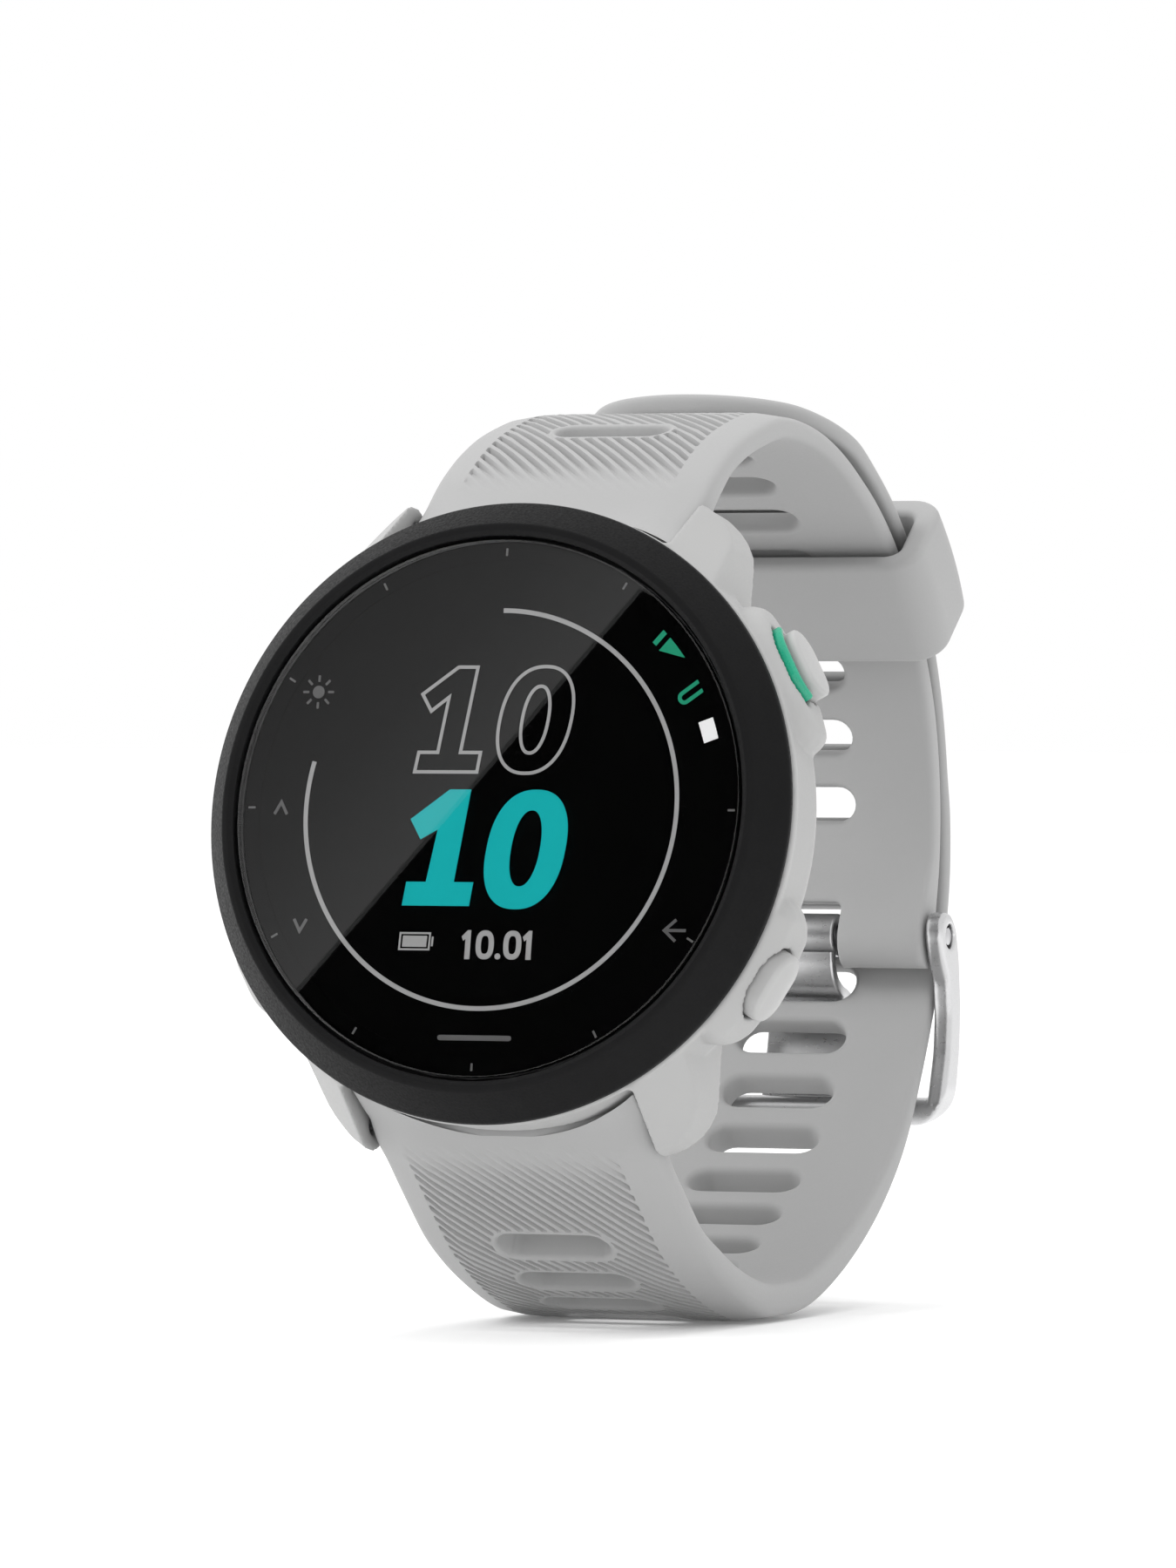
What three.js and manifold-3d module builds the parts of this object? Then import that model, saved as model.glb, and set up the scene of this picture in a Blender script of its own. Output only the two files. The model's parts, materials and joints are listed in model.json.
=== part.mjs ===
// Round GPS running watch on a closed silicone strap with a pin buckle.
// Millimetres, +Z up, +X towards three o'clock, -Y towards the reader of the dial.
// The case is drawn in its own frame (x to three o'clock, y into the case, z to
// twelve o'clock) and leans back by CASE_TILT. The strap is drawn in side view (y, z).
import * as THREE from 'three';
import { mergeVertices } from 'three/addons/utils/BufferGeometryUtils.js';
import Module from 'manifold-3d';

const wasm = await Module();
wasm.setup();

// ---------- driving dimensions ----------
const CASE_TILT = 10;            // degrees, dial leans back
const CASE_R = 20.3;             // case wall radius
const CAVITY_R = 18.4;           // inside of the case wall
const BEZEL_R = 20.5;            // outer edge of the bezel
const LENS_R = 17.7;             // glass radius
const LENS_FRONT = -0.70;        // glass front face depth
const LENS_BACK = -0.10;         // glass back face depth
const BACK_Y = 10.7;             // outermost depth of the sensor window
const LUG_IN = 10.3;             // inside face of the lugs, half width
const BAR_Y = 8.3;               // spring bar depth in the case frame
const BAR_Z = 19.7;              // spring bar distance from the dial centre
const STRAP_W = 9.95;            // strap half width
const STRAP_T = 1.85;            // strap thickness
const SLOT_HALF = 4.0;           // strap slot half length
const SLOT_H = 1.25;             // strap slot half height
const BAND = [30, -1.3];         // centre of the band's back arc (y, z)
const R_IN = 24.6;               // inner face of the inner strap layer
const R_OUT = 26.45;             // outer face of the inner strap layer
const R_TAIL_IN = 26.75;         // inner face of the tail
const R_TAIL_OUT = 28.2;         // outer face of the tail
const KEEPER_DEG = 38.5;         // keeper position on the back arc
const PIN = [53.96, -9.47];      // buckle bar centre (y, z)
const FRONT_BAR = [53.5, -21.6]; // buckle front bar centre (y, z)
const BOTTOM = -34.6;            // lowest face of the strap
const MID_Y = 26.0;              // centre of the resting face
// buttons: name, angle round the dial, depth of the axis
const BUTTONS = [
  ['start', 29, 6.0], ['back', -30, 4.7],
  ['light', 150, 5.9], ['up', 180, 5.9], ['down', 210, 5.9],
];
const CAP_L = 4.9, CAP_W = 3.3, CAP_R0 = 20.1;
const capTop = (deg) => (Math.abs(deg) < 90 ? 22.3 : 21.85);   // the three on the left stand less proud
const BOSS_R = 21.4;             // outside of the bosses round the right-hand buttons
const STEM_R = 0.7, STEM_IN = 17.6;

const RAD = Math.PI / 180;
const ct = Math.cos(CASE_TILT * RAD), st = Math.sin(CASE_TILT * RAD);
const cw = (y, z) => [y * ct + z * st, -y * st + z * ct];   // case frame to band frame

// ---------- solids ----------
function solid(geometry, matrix) {
  let g = geometry.clone();
  if (matrix) g.applyMatrix4(matrix);
  g.deleteAttribute('normal');
  g.deleteAttribute('uv');
  g = mergeVertices(g, 1e-4);
  const p = g.attributes.position.array, idx = g.index.array, tri = [];
  let vol = 0;
  for (let i = 0; i < idx.length; i += 3) {
    const [a, b, c] = [idx[i], idx[i + 1], idx[i + 2]];
    if (a === b || b === c || a === c) continue;
    tri.push(a, b, c);
    const A = [p[3 * a], p[3 * a + 1], p[3 * a + 2]];
    const B = [p[3 * b], p[3 * b + 1], p[3 * b + 2]];
    const C = [p[3 * c], p[3 * c + 1], p[3 * c + 2]];
    vol += A[0] * (B[1] * C[2] - B[2] * C[1]) - A[1] * (B[0] * C[2] - B[2] * C[0]) + A[2] * (B[0] * C[1] - B[1] * C[0]);
  }
  if (vol < 0) for (let i = 0; i < tri.length; i += 3) [tri[i + 1], tri[i + 2]] = [tri[i + 2], tri[i + 1]];
  return new wasm.Manifold(new wasm.Mesh({
    numProp: 3, vertProperties: new Float32Array(p), triVerts: new Uint32Array(tri),
  }));
}
const M = (x, y, z, t = [0, 0, 0]) => new THREE.Matrix4()
  .makeBasis(new THREE.Vector3(...x), new THREE.Vector3(...y), new THREE.Vector3(...z)).setPosition(...t);
// ring or disc about the case axis, profile of (radius, depth), closed on itself when it leaves the axis
function lathe(profile, seg, start = 0, len = Math.PI * 2) {
  const pts = profile.map(([r, y]) => new THREE.Vector2(r, y));
  if (profile[0][0] > 0) pts.push(pts[0].clone());
  return solid(new THREE.LatheGeometry(pts, seg, start, len));
}
const shapeOf = (poly) => new THREE.Shape(poly.map(([a, b]) => new THREE.Vector2(a, b)));
// side view outline (y, z) extruded from x0 to x1
function prismX(poly, x0, x1) {
  const g = new THREE.ExtrudeGeometry(shapeOf(poly), { depth: x1 - x0, bevelEnabled: false, steps: 1 });
  return solid(g, M([0, 1, 0], [0, 0, 1], [1, 0, 0], [x0, 0, 0]));
}
// front view outline (x, z) extruded from depth y0 to y1
function prismY(poly, y0, y1) {
  const g = new THREE.ExtrudeGeometry(shapeOf(poly), { depth: y1 - y0, bevelEnabled: false, steps: 1 });
  return solid(g, M([1, 0, 0], [0, 0, 1], [0, -1, 0], [0, y1, 0]));
}
function box(x0, x1, y0, y1, z0, z1) {
  return solid(new THREE.BoxGeometry(x1 - x0, y1 - y0, z1 - z0),
    new THREE.Matrix4().makeTranslation((x0 + x1) / 2, (y0 + y1) / 2, (z0 + z1) / 2));
}
function cylX(r, x0, x1, y, z, seg = 16) {
  return solid(new THREE.CylinderGeometry(r, r, x1 - x0, seg), M([0, 1, 0], [1, 0, 0], [0, 0, -1], [(x0 + x1) / 2, y, z]));
}
function cylY(r, y0, y1, x, z, seg = 16) {
  return solid(new THREE.CylinderGeometry(r, r, y1 - y0, seg), new THREE.Matrix4().makeTranslation(x, (y0 + y1) / 2, z));
}
// pill outline, half length a + r along the second axis
function pill(halfLong, r, n = 8) {
  const a = halfLong - r, pts = [];
  for (let i = 0; i <= n; i++) { const t = i / n * Math.PI; pts.push([r * Math.cos(t), a + r * Math.sin(t)]); }
  for (let i = 0; i <= n; i++) { const t = Math.PI + i / n * Math.PI; pts.push([r * Math.cos(t), -a + r * Math.sin(t)]); }
  return pts;
}
function geometryOf(manifold) {
  const m = manifold.getMesh(), n = m.numProp, v = new Float32Array(m.vertProperties.length / n * 3);
  for (let i = 0; i < v.length / 3; i++) for (let k = 0; k < 3; k++) v[3 * i + k] = m.vertProperties[n * i + k];
  const g = new THREE.BufferGeometry();
  g.setAttribute('position', new THREE.BufferAttribute(v, 3));
  g.setIndex(new THREE.BufferAttribute(new Uint32Array(m.triVerts), 1));
  return g;
}

// ---------- materials ----------
const look = (color, roughness, metalness) => ({ color, roughness, metalness });
const LOOK = {
  shell: look(0xc9c9c8, 0.55, 0), bezel: look(0x26272a, 0.5, 0), glass: look(0x101214, 0.05, 0),
  black: look(0x141416, 0.7, 0), screen: look(0x08090a, 0.3, 0), silicone: look(0xbfc0c0, 0.7, 0),
  steel: look(0xb9bbbd, 0.3, 1), green: look(0x22a886, 0.4, 0), board: look(0x15502f, 0.6, 0),
  foil: look(0x9aa0a6, 0.45, 0.6), gold: look(0xd8b25a, 0.3, 1), dark: look(0x2b2c2f, 0.6, 0),
  rubber: look(0x1b1b1d, 0.8, 0), sensor: look(0x101113, 0.1, 0),
};

const root = new THREE.Group();
root.position.set(0, -MID_Y, -BOTTOM);
const caseGroup = new THREE.Group();
caseGroup.rotation.x = -CASE_TILT * RAD;
root.add(caseGroup);
function add(group, name, manifold, lk) {
  const mesh = new THREE.Mesh(geometryOf(manifold), new THREE.MeshStandardMaterial({ ...lk, flatShading: true }));
  mesh.name = name;
  group.add(mesh);
  return mesh;
}

// ---------- button frames: X outwards, Y into the case, Z round the dial ----------
const btn = (deg, depth) => {
  const c = Math.cos(deg * RAD), s = Math.sin(deg * RAD);
  return M([c, 0, s], [0, 1, 0], [-s, 0, c], [0, depth, 0]);
};
// outline in (depth, round the dial), extruded outwards from r0 to r1
function radialPrism(poly, r0, r1, deg, depth, bevel = 0) {
  const g = new THREE.ExtrudeGeometry(shapeOf(poly), bevel
    ? { depth: r1 - r0 - 2 * bevel, bevelEnabled: true, bevelThickness: bevel, bevelSize: bevel, bevelOffset: -bevel, bevelSegments: 1, steps: 1 }
    : { depth: r1 - r0, bevelEnabled: false, steps: 1 });
  const toLocal = M([0, 1, 0], [0, 0, 1], [1, 0, 0], [r0 + bevel, 0, 0]);
  return solid(g, btn(deg, depth).multiply(toLocal));
}
function radialCyl(r, r0, r1, deg, depth, seg = 12) {
  const toLocal = M([0, 1, 0], [1, 0, 0], [0, 0, -1], [(r0 + r1) / 2, 0, 0]);
  return solid(new THREE.CylinderGeometry(r, r, r1 - r0, seg), btn(deg, depth).multiply(toLocal));
}
// C-shaped band round the front half of a button, between two offsets of the pill
function frontBand(o0, o1, deg, n = 5) {
  const a = (CAP_L - CAP_W) / 2, out = [], inn = [];
  const at = (o, f) => [-o * Math.cos(f), (f >= 0 ? a : -a) + o * Math.sin(f)];
  for (let i = 0; i <= n; i++) { const f = (deg - i * deg / n) * RAD; out.push(at(o1, f)); inn.push(at(o0, f)); }
  for (let i = 0; i <= n; i++) {
    const f = (-i * deg / n) * RAD, q = [-1, 1];
    out.push([-o1 * Math.cos(f), -a + o1 * Math.sin(f)]); inn.push([-o0 * Math.cos(f), -a + o0 * Math.sin(f)]);
  }
  return out.concat(inn.reverse());
}

// ---------- case ----------
let shell = lathe([[CAVITY_R, 1.95], [20.6, 1.95], [20.6, 2.3], [CASE_R, 3.2], [CASE_R, 6.4], [19.75, 7.8], [18.9, 9.2], [18.3, 9.75], [16.95, 9.75],
  [16.95, 8.75], [13.2, 8.75], [13.2, 7.9], [CAVITY_R, 7.9]], 54);
// flat inner walls at twelve and six o'clock, behind the strap ends
const flats = cylY(CAVITY_R + 0.3, 5.8, 8.2, 0, 0, 48).subtract(box(-25, 25, 5, 9, -16.1, 16.1));
shell = shell.add(flats);
// lugs
const lugSide = [[2.15, 12.0], [2.15, 18.3], [4.3, 20.0], [7.3, 21.5], [8.5, 21.6], [9.7, 21.0], [10.35, 19.9], [10.4, 18.2], [9.7, 16.2], [8.9, 12.0]];
const lugFront = [[LUG_IN, 12.0], [LUG_IN, 22.0], [10.4, 21.4], [11.5, 20.75], [12.1, 20.15], [12.75, 19.3], [13.15, 18.4], [13.4, 17.0], [13.6, 14.7], [13.6, 12]];
// faces that bound each lug, as (x, depth, z) and distance: the broad front face and the chamfer beside it
const LUG_FACES = [[[0.95, -0.72, 1], 26.23], [[0.925, -0.176, 0.339], 17.2]];
for (const sx of [1, -1]) for (const sz of [1, -1]) {
  const side = prismX(lugSide.map(([y, z]) => [y, z * sz]), sx > 0 ? LUG_IN : -17, sx > 0 ? 17 : -LUG_IN);
  const front = prismY(lugFront.map(([x, z]) => [x * sx, z * sz]), 1.9, 11);
  let lug = side.intersect(front);
  for (const [[a, b, c], d] of LUG_FACES) {
    const l = Math.hypot(a, b, c);
    lug = lug.trimByPlane([-a * sx / l, -b / l, -c * sz / l], -d / l);
  }
  lug = lug.subtract(cylY(CAVITY_R + 0.4, -2, 20, 0, 0, 60));
  shell = shell.add(lug);
}
// room for the strap ends between the lugs, and the spring bar holes
for (const sz of [1, -1]) {
  shell = shell.subtract(box(-LUG_IN, LUG_IN, 6.25, 14, sz > 0 ? 17.45 : -27, sz > 0 ? 27 : -17.45));
  for (const sx of [1, -1]) shell = shell.subtract(cylX(0.72, sx > 0 ? LUG_IN - 1 : -LUG_IN - 1.35, sx > 0 ? LUG_IN + 1.35 : -LUG_IN + 1, BAR_Y, sz * BAR_Z, 12));
}
// raised bosses that the two right-hand buttons sit in
const bossSkin = lathe([[0, 2.0], [20.6, 2.0], [BOSS_R, 3.3], [BOSS_R, 6.9], [20.3, 8.5], [18.9, 9.3], [0, 9.3]], 72)
  .subtract(cylY(CAVITY_R + 0.5, 0, 12, 0, 0, 54));
for (const [, deg, depth] of BUTTONS.slice(0, 2)) {
  shell = shell.add(radialPrism(pill(CAP_L / 2 + 3.0, CAP_W / 2 + 2.4, 8), 15, 23.2, deg, depth, 1.9).intersect(bossSkin));
}
// button recesses, bores and the accent slot
for (const [, deg, depth] of BUTTONS) {
  shell = shell.subtract(radialPrism(pill(CAP_L / 2 + 0.22, CAP_W / 2 + 0.22), 19.35, 24, deg, depth));
  shell = shell.subtract(radialCyl(STEM_R + 0.25, 17, 20, deg, depth));
  shell = shell.subtract(radialCyl(1.4, 17, 18.85, deg, depth));
}
shell = shell.subtract(radialPrism(frontBand(1.7, 2.65, 62), 20.7, 24, BUTTONS[0][1], BUTTONS[0][2]));
// screw holes in the back flange and the groove of the back seal
const SCREWS = [45, 135, 225, 315].map((d) => [15.45 * Math.cos(d * RAD), 15.45 * Math.sin(d * RAD)]);
for (const [x, z] of SCREWS) shell = shell.subtract(cylY(0.8, 7, 9, x, z, 10));
shell = shell.subtract(lathe([[13.65, 8.25], [14.45, 8.25], [14.45, 9], [13.65, 9]], 36));
add(caseGroup, 'case_body', shell, LOOK.shell);

// ---------- front: bezel, glass, gasket, display ----------
add(caseGroup, 'bezel', lathe([[17.95, -0.75], [18.3, -0.95], [18.7, -0.88], [BEZEL_R, 1.3], [BEZEL_R, 1.7], [17.25, 1.7],
  [17.25, 0.45], [17.95, 0.45]], 60), LOOK.bezel);
add(caseGroup, 'lens', lathe([[0, LENS_FRONT], [LENS_R - 0.2, LENS_FRONT], [LENS_R, LENS_FRONT + 0.2], [LENS_R, LENS_BACK], [0, LENS_BACK]], 48), LOOK.glass);
add(caseGroup, 'lens_gasket', lathe([[17.3, 0.05], [17.75, 0.05], [17.75, 0.3], [17.3, 0.3]], 40), LOOK.rubber);
add(caseGroup, 'display_panel', lathe([[0, 0.1], [16.9, 0.1], [16.9, 0.5], [16.2, 0.5], [16.2, 1.5], [0, 1.5]], 36), LOOK.screen);

// ---------- inside the case ----------
let board = cylY(15.0, 2.0, 2.8, 0, 0, 36);
board = board.add(box(-4.2, 3.2, 2.7, 3.0, 2.5, 8.6)).add(box(5, 9.4, 2.7, 2.95, -7, -2.6)).add(box(-10.5, -6.5, 2.7, 2.95, -6.5, -1.5));
add(caseGroup, 'main_board', board, LOOK.board);
let chassis = lathe([[0, 3.2], [15.1, 3.2], [15.1, 7.6], [13.9, 7.6], [13.9, 3.75], [0, 3.75]], 36);
chassis = chassis.subtract(box(4.6, 5.6, 2, 5, -4, 4));
add(caseGroup, 'chassis', chassis, LOOK.dark);
const dPoly = [];
for (let i = 0; i <= 16; i++) { const a = (68 + i * (224 / 16)) * RAD; dPoly.push([12.9 * Math.cos(a), 12.9 * Math.sin(a)]); }
add(caseGroup, 'battery', prismY(dPoly, 4.0, 7.1), LOOK.foil);
add(caseGroup, 'vibration_motor', cylY(3.4, 4.0, 6.6, 9.35, 4.1, 20).add(box(8.7, 10, 6.5, 6.8, 3.4, 4.8)), LOOK.steel);
add(caseGroup, 'buzzer', cylY(3.4, 4.0, 5.9, 9.35, -4.1, 20).subtract(cylY(0.8, 5.3, 6.5, 9.35, -4.1, 10)), LOOK.dark);
add(caseGroup, 'gps_antenna', (() => {
  const ring = lathe([[17.0, 2.15], [17.8, 2.15], [17.8, 3.1], [17.0, 3.1]], 48);
  return ring.intersect(box(-18, 18, 2, 4, 4, 19));
})(), LOOK.gold);
add(caseGroup, 'sensor_board', cylY(6.4, 7.4, 7.95, 0, 0, 24).add(box(-1.6, 1.6, 7.9, 8.15, -1.6, 1.6)), LOOK.board);

// ---------- back ----------
add(caseGroup, 'back_seal', lathe([[13.85, 8.4], [14.25, 8.4], [14.25, 8.85], [13.85, 8.85]], 36), LOOK.rubber);
let cover = lathe([[7.25, 8.98], [16.7, 8.98], [16.7, 9.7], [16.4, 9.95], [7.25, 9.95]], 48);
for (const [x, z] of SCREWS) cover = cover.subtract(cylY(0.8, 8, 11, x, z, 10)).subtract(cylY(1.3, 9.4, 11, x, z, 12));
const CONTACT_X = [-2.7, -0.9, 0.9, 2.7], CONTACT_Z = -11.3;
cover = cover.subtract(box(-3.9, 3.9, 9.6, 11, CONTACT_Z - 1.3, CONTACT_Z + 1.3));
for (const x of CONTACT_X) cover = cover.subtract(cylY(0.62, 8, 11, x, CONTACT_Z, 10));
add(caseGroup, 'back_cover', cover, LOOK.shell);
add(caseGroup, 'sensor_window', lathe([[0, 8.3], [8.1, 8.3], [8.1, 8.75], [6.95, 8.75], [6.95, 10.1], [6.3, BACK_Y], [0, BACK_Y]], 40), LOOK.sensor);
SCREWS.forEach(([x, z], i) => {
  const s = cylY(1.05, 9.45, 9.85, x, z, 12).add(cylY(0.52, 7.95, 9.5, x, z, 10)).subtract(cylY(0.45, 9.6, 11, x, z, 6));
  add(caseGroup, `back_screw_${i + 1}`, s, LOOK.steel);
});
CONTACT_X.forEach((x, i) => add(caseGroup, `charge_contact_${i + 1}`,
  cylY(0.4, 8.95, 9.75, x, CONTACT_Z, 10).add(cylY(0.5, 8.45, 9.0, x, CONTACT_Z, 10)), LOOK.gold));

// ---------- buttons ----------
for (const [name, deg, depth] of BUTTONS) {
  const cap = radialPrism(pill(CAP_L / 2, CAP_W / 2, 7), CAP_R0, capTop(deg), deg, depth, 0.3);
  const stem = radialCyl(STEM_R, STEM_IN, CAP_R0 + 0.2, deg, depth, 10)
    .subtract(radialCyl(STEM_R + 0.5, 17.85, 18.15, deg, depth, 10).subtract(radialCyl(0.48, 17, 19, deg, depth, 10)));
  add(caseGroup, `button_${name}`, cap.add(stem), LOOK.shell);
  const seal = radialCyl(1.2, 18.45, 18.8, deg, depth, 12).subtract(radialCyl(0.9, 18, 20, deg, depth, 12));
  add(caseGroup, `button_seal_${name}`, seal, LOOK.rubber);
  // retaining clip in the groove at the inner end of the stem
  const clip = radialCyl(1.25, 17.9, 18.1, deg, depth, 12).subtract(radialCyl(0.6, 17, 19, deg, depth, 10))
    .subtract(radialPrism([[-0.45, -2], [0.45, -2], [0.45, 0], [-0.45, 0]], 17.5, 18.6, deg, depth));
  add(caseGroup, `button_clip_${name}`, clip, LOOK.steel);
  const sw = radialPrism([[-1.0, -1.5], [1.0, -1.5], [1.0, 1.5], [-1.0, 1.5]], 15.3, 16.5, deg, depth)
    .add(radialCyl(0.45, 16.4, 16.85, deg, depth, 8));
  add(caseGroup, `switch_${name}`, sw, LOOK.dark);
}
add(caseGroup, 'start_accent', radialPrism(frontBand(1.95, 2.45, 55), 20.85, 21.7, BUTTONS[0][1], BUTTONS[0][2]), LOOK.green);

// ---------- spring bars: tube with one fixed tip, sliding pin, spring ----------
for (const [name, sz] of [['upper', 1], ['lower', -1]]) {
  const z = sz * BAR_Z;
  let tube = cylX(0.8, -9.6, 8.6, BAR_Y, z, 12).add(cylX(0.45, -LUG_IN - 1.05, -9.5, BAR_Y, z, 10));
  tube = tube.subtract(cylX(0.55, -3.0, 9.5, BAR_Y, z, 10));
  // slot that the release knob slides in
  tube = tube.subtract(prismX([[BAR_Y, z - 0.55], [BAR_Y + 1.2, z - 0.55], [BAR_Y + 1.2, z + 0.55], [BAR_Y, z + 0.55]], 7.1, 9.5));
  add(caseGroup, `${name}_bar_tube`, tube, LOOK.steel);
  const knob = prismX([[BAR_Y + 0.1, z - 0.35], [BAR_Y + 2.35, z - 0.35], [BAR_Y + 2.35, z + 0.35], [BAR_Y + 0.1, z + 0.35]], 8.75, 9.3);
  const pin = cylX(0.4, 1.5, LUG_IN + 1.05, BAR_Y, z, 10).add(knob);
  add(caseGroup, `${name}_bar_pin`, pin, LOOK.steel);
  // spring in the blind end of the tube, drawn at its pressed length
  const turns = 4, helix = new THREE.CatmullRomCurve3(Array.from({ length: turns * 6 + 1 }, (_, i) => {
    const a = i / 6 * 2 * Math.PI;
    return new THREE.Vector3(-2.75 + 2.7 * i / (turns * 6), BAR_Y + 0.34 * Math.cos(a), z + 0.34 * Math.sin(a));
  }));
  const wire = shapeOf(Array.from({ length: 5 }, (_, i) => [0.09 * Math.cos(i * 72 * RAD), 0.09 * Math.sin(i * 72 * RAD)]));
  add(caseGroup, `${name}_bar_spring`, solid(new THREE.ExtrudeGeometry(wire, { steps: turns * 7, extrudePath: helix, bevelEnabled: false })), LOOK.steel);
}

// ---------- strap side views ----------
const polar = (R, deg) => [BAND[0] + R * Math.cos(deg * RAD), BAND[1] + R * Math.sin(deg * RAD)];
const arcPts = (c, r, a0, a1, n) => Array.from({ length: n + 1 }, (_, i) => {
  const a = (a0 + (a1 - a0) * i / n) * RAD; return [c[0] + r * Math.cos(a), c[1] + r * Math.sin(a)];
});
// offset of an open polyline to its right-hand side by t (number or per point)
function offset(pts, t) {
  return pts.map((p, i) => {
    const a = pts[Math.max(i - 1, 0)], b = pts[Math.min(i + 1, pts.length - 1)];
    const d = Math.hypot(b[0] - a[0], b[1] - a[1]), tt = Array.isArray(t) ? t[i] : t;
    return [p[0] + (b[1] - a[1]) / d * tt, p[1] - (b[0] - a[0]) / d * tt];
  });
}
const BAR_UP = cw(BAR_Y, BAR_Z), BAR_LOW = cw(BAR_Y, -BAR_Z);

// short strap (twelve o'clock), outer face from the case to the buckle
const shortFront = [cw(2.75, 18.15), cw(6.4, 20.25), [12.0, 20.25], [14.0, 21.9], [16.9, 23.6], [19.9, 24.8], [23, 25.6], [26.5, 26.25], [29.6, 26.2],
  [32.8, 25.75], [36, 24.95], [39.3, 23.65]];
const shortArc = Array.from({ length: 15 }, (_, i) => polar(R_OUT, 64 - i * 5));
const shortOuter = [...shortFront, ...shortArc];                       // ends at -6 degrees
const shortInner = [...offset(shortFront, STRAP_T).slice(4), ...Array.from({ length: 15 }, (_, i) => polar(R_IN, 64 - i * 5))];
const shortPoly = [...shortOuter, ...arcPts([53.5, -9.8], 1.9, 25, -200, 9), ...shortInner.slice().reverse(), [14.6, 19.6],
  ...arcPts(BAR_UP, 1.72, 5, -160, 7), cw(3.2, 17.7)];
// plain cylinder that keeps the strap clear of the case wall
const wallClear = solid(new THREE.CylinderGeometry(CASE_R + 0.35, CASE_R + 0.35, 10, 60),
  M([1, 0, 0], [0, ct, -st], [0, st, ct], [0, 1.55 * ct, -1.55 * st]));
// slot through a strap layer at side-view point p with outward direction n
function slotCut(p, n, half = SLOT_HALF, h = SLOT_H, depth = 2.4) {
  const poly = pill(half, h, 5).map(([a, b]) => [b, a]);
  const g = new THREE.ExtrudeGeometry(shapeOf(poly), { depth: 2 * depth, bevelEnabled: false, steps: 1 });
  return solid(g, M([1, 0, 0], [0, n[1], -n[0]], [0, n[0], n[1]], [0, p[0] - n[0] * depth, p[1] - n[1] * depth]));
}
const dirOf = (deg) => [Math.cos(deg * RAD), Math.sin(deg * RAD)];
const SLOT_DEG0 = 2.3, SLOT_STEP = 10.74;
let strapShort = prismX(shortPoly, -STRAP_W, STRAP_W);
strapShort = strapShort.subtract(wallClear);
for (let k = 0; k <= 10; k++) {
  if (k === 9) continue;
  const a = SLOT_DEG0 + SLOT_STEP * k;
  strapShort = strapShort.subtract(slotCut(polar(k > 6 ? 26.4 : 25.5, a), dirOf(a)));
}
strapShort = strapShort.subtract(cylX(1.05, -15, 15, BAR_UP[0], BAR_UP[1], 12));
strapShort = strapShort.subtract(cylX(0.92, -15, 15, PIN[0], PIN[1], 12));
strapShort = strapShort.subtract(box(-3.7, 3.7, PIN[0] - 3, PIN[0] + 3, PIN[1] - 3, PIN[1] + 2.15));
// window for the quick release knob
const knobWindow = (sz) => solid(new THREE.BoxGeometry(3.6, 3.6, 1.6),
  M([1, 0, 0], [0, ct, -st], [0, st, ct], [8.4, ...cw(BAR_Y + 1.8, sz * BAR_Z)]));
strapShort = strapShort.subtract(knobWindow(1));
add(root, 'strap_short', strapShort, LOOK.silicone);

// long strap (six o'clock), outer face from the case round to the tip of the tail
const longOuter = [cw(2.75, -18.15), cw(6.4, -20.25), [3.5, -22.7], [5.1, -24.15], [7.8, -26.6], [11.2, -29.5], [14.6, -31.5], [17.8, -32.9], [20.7, -33.8],
  [22.8, -34.3], [24.9, BOTTOM], [29.3, BOTTOM], [31.8, -34.3], [34.2, -33.7], [37.6, -32.5], [40.9, -31.0], [43.9, -29.3], [46.3, -27.6], [48.4, -25.8],
  [50.0, -24.1], [51.3, -22.3], [52.8, -19.9], [54.1, -17.6], [55.3, -15.3], [56.5, -13.0], [57.4, -10.9], [58.1, -8.4], [58.6, -5.8], [58.75, -3.2], [58.65, -0.6]];
const longTailDeg = [5, 10, 15, 20, 25, 30, 35, 40, 45, 50, 55, 60, 65, 70, 75, 80, 85];
const tailOut = (d) => d < 10 ? R_TAIL_OUT + 0.1 : d < 60 ? R_TAIL_OUT : R_TAIL_OUT + Math.min(1.0, (d - 60) * 0.04);
const shortOutAt = (d) => {            // radius of the inner layer's outer face
  if (d <= 64) return R_OUT;
  for (let i = 0; i + 1 < shortFront.length; i++) {
    const [p, q] = [shortFront[i + 1], shortFront[i]];
    const a0 = Math.atan2(p[1] - BAND[1], p[0] - BAND[0]) / RAD, a1 = Math.atan2(q[1] - BAND[1], q[0] - BAND[0]) / RAD;
    if (d >= a0 && d <= a1) {
      const f = (d - a0) / (a1 - a0);
      return Math.hypot(p[0] - BAND[0], p[1] - BAND[1]) * (1 - f) + Math.hypot(q[0] - BAND[0], q[1] - BAND[1]) * f;
    }
  }
  return R_OUT + 0.05 * (d - 64);
};
const tailIn = (d) => Math.max(d < 10 ? R_TAIL_IN + 0.05 : R_TAIL_IN, shortOutAt(d) + 0.32);
const longThick = longOuter.map((p, i) => i < 6 ? 2.3 : i < 17 ? 2.6 : Math.max(1.7, 2.6 - 0.16 * (i - 16)));
const longInnerFront = offset(longOuter, longThick.map((t) => -t)).slice(4);
const longPoly = [...longOuter, ...longTailDeg.map((d) => polar(Math.max(tailOut(d), tailIn(d) + 0.7), d)),
  ...longTailDeg.slice().reverse().map((d) => polar(tailIn(d), d)), ...longInnerFront.reverse(),
  [6.9, -22.8], ...arcPts(BAR_LOW, 1.72, -20, 150, 7), cw(3.2, -17.7)];
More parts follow.
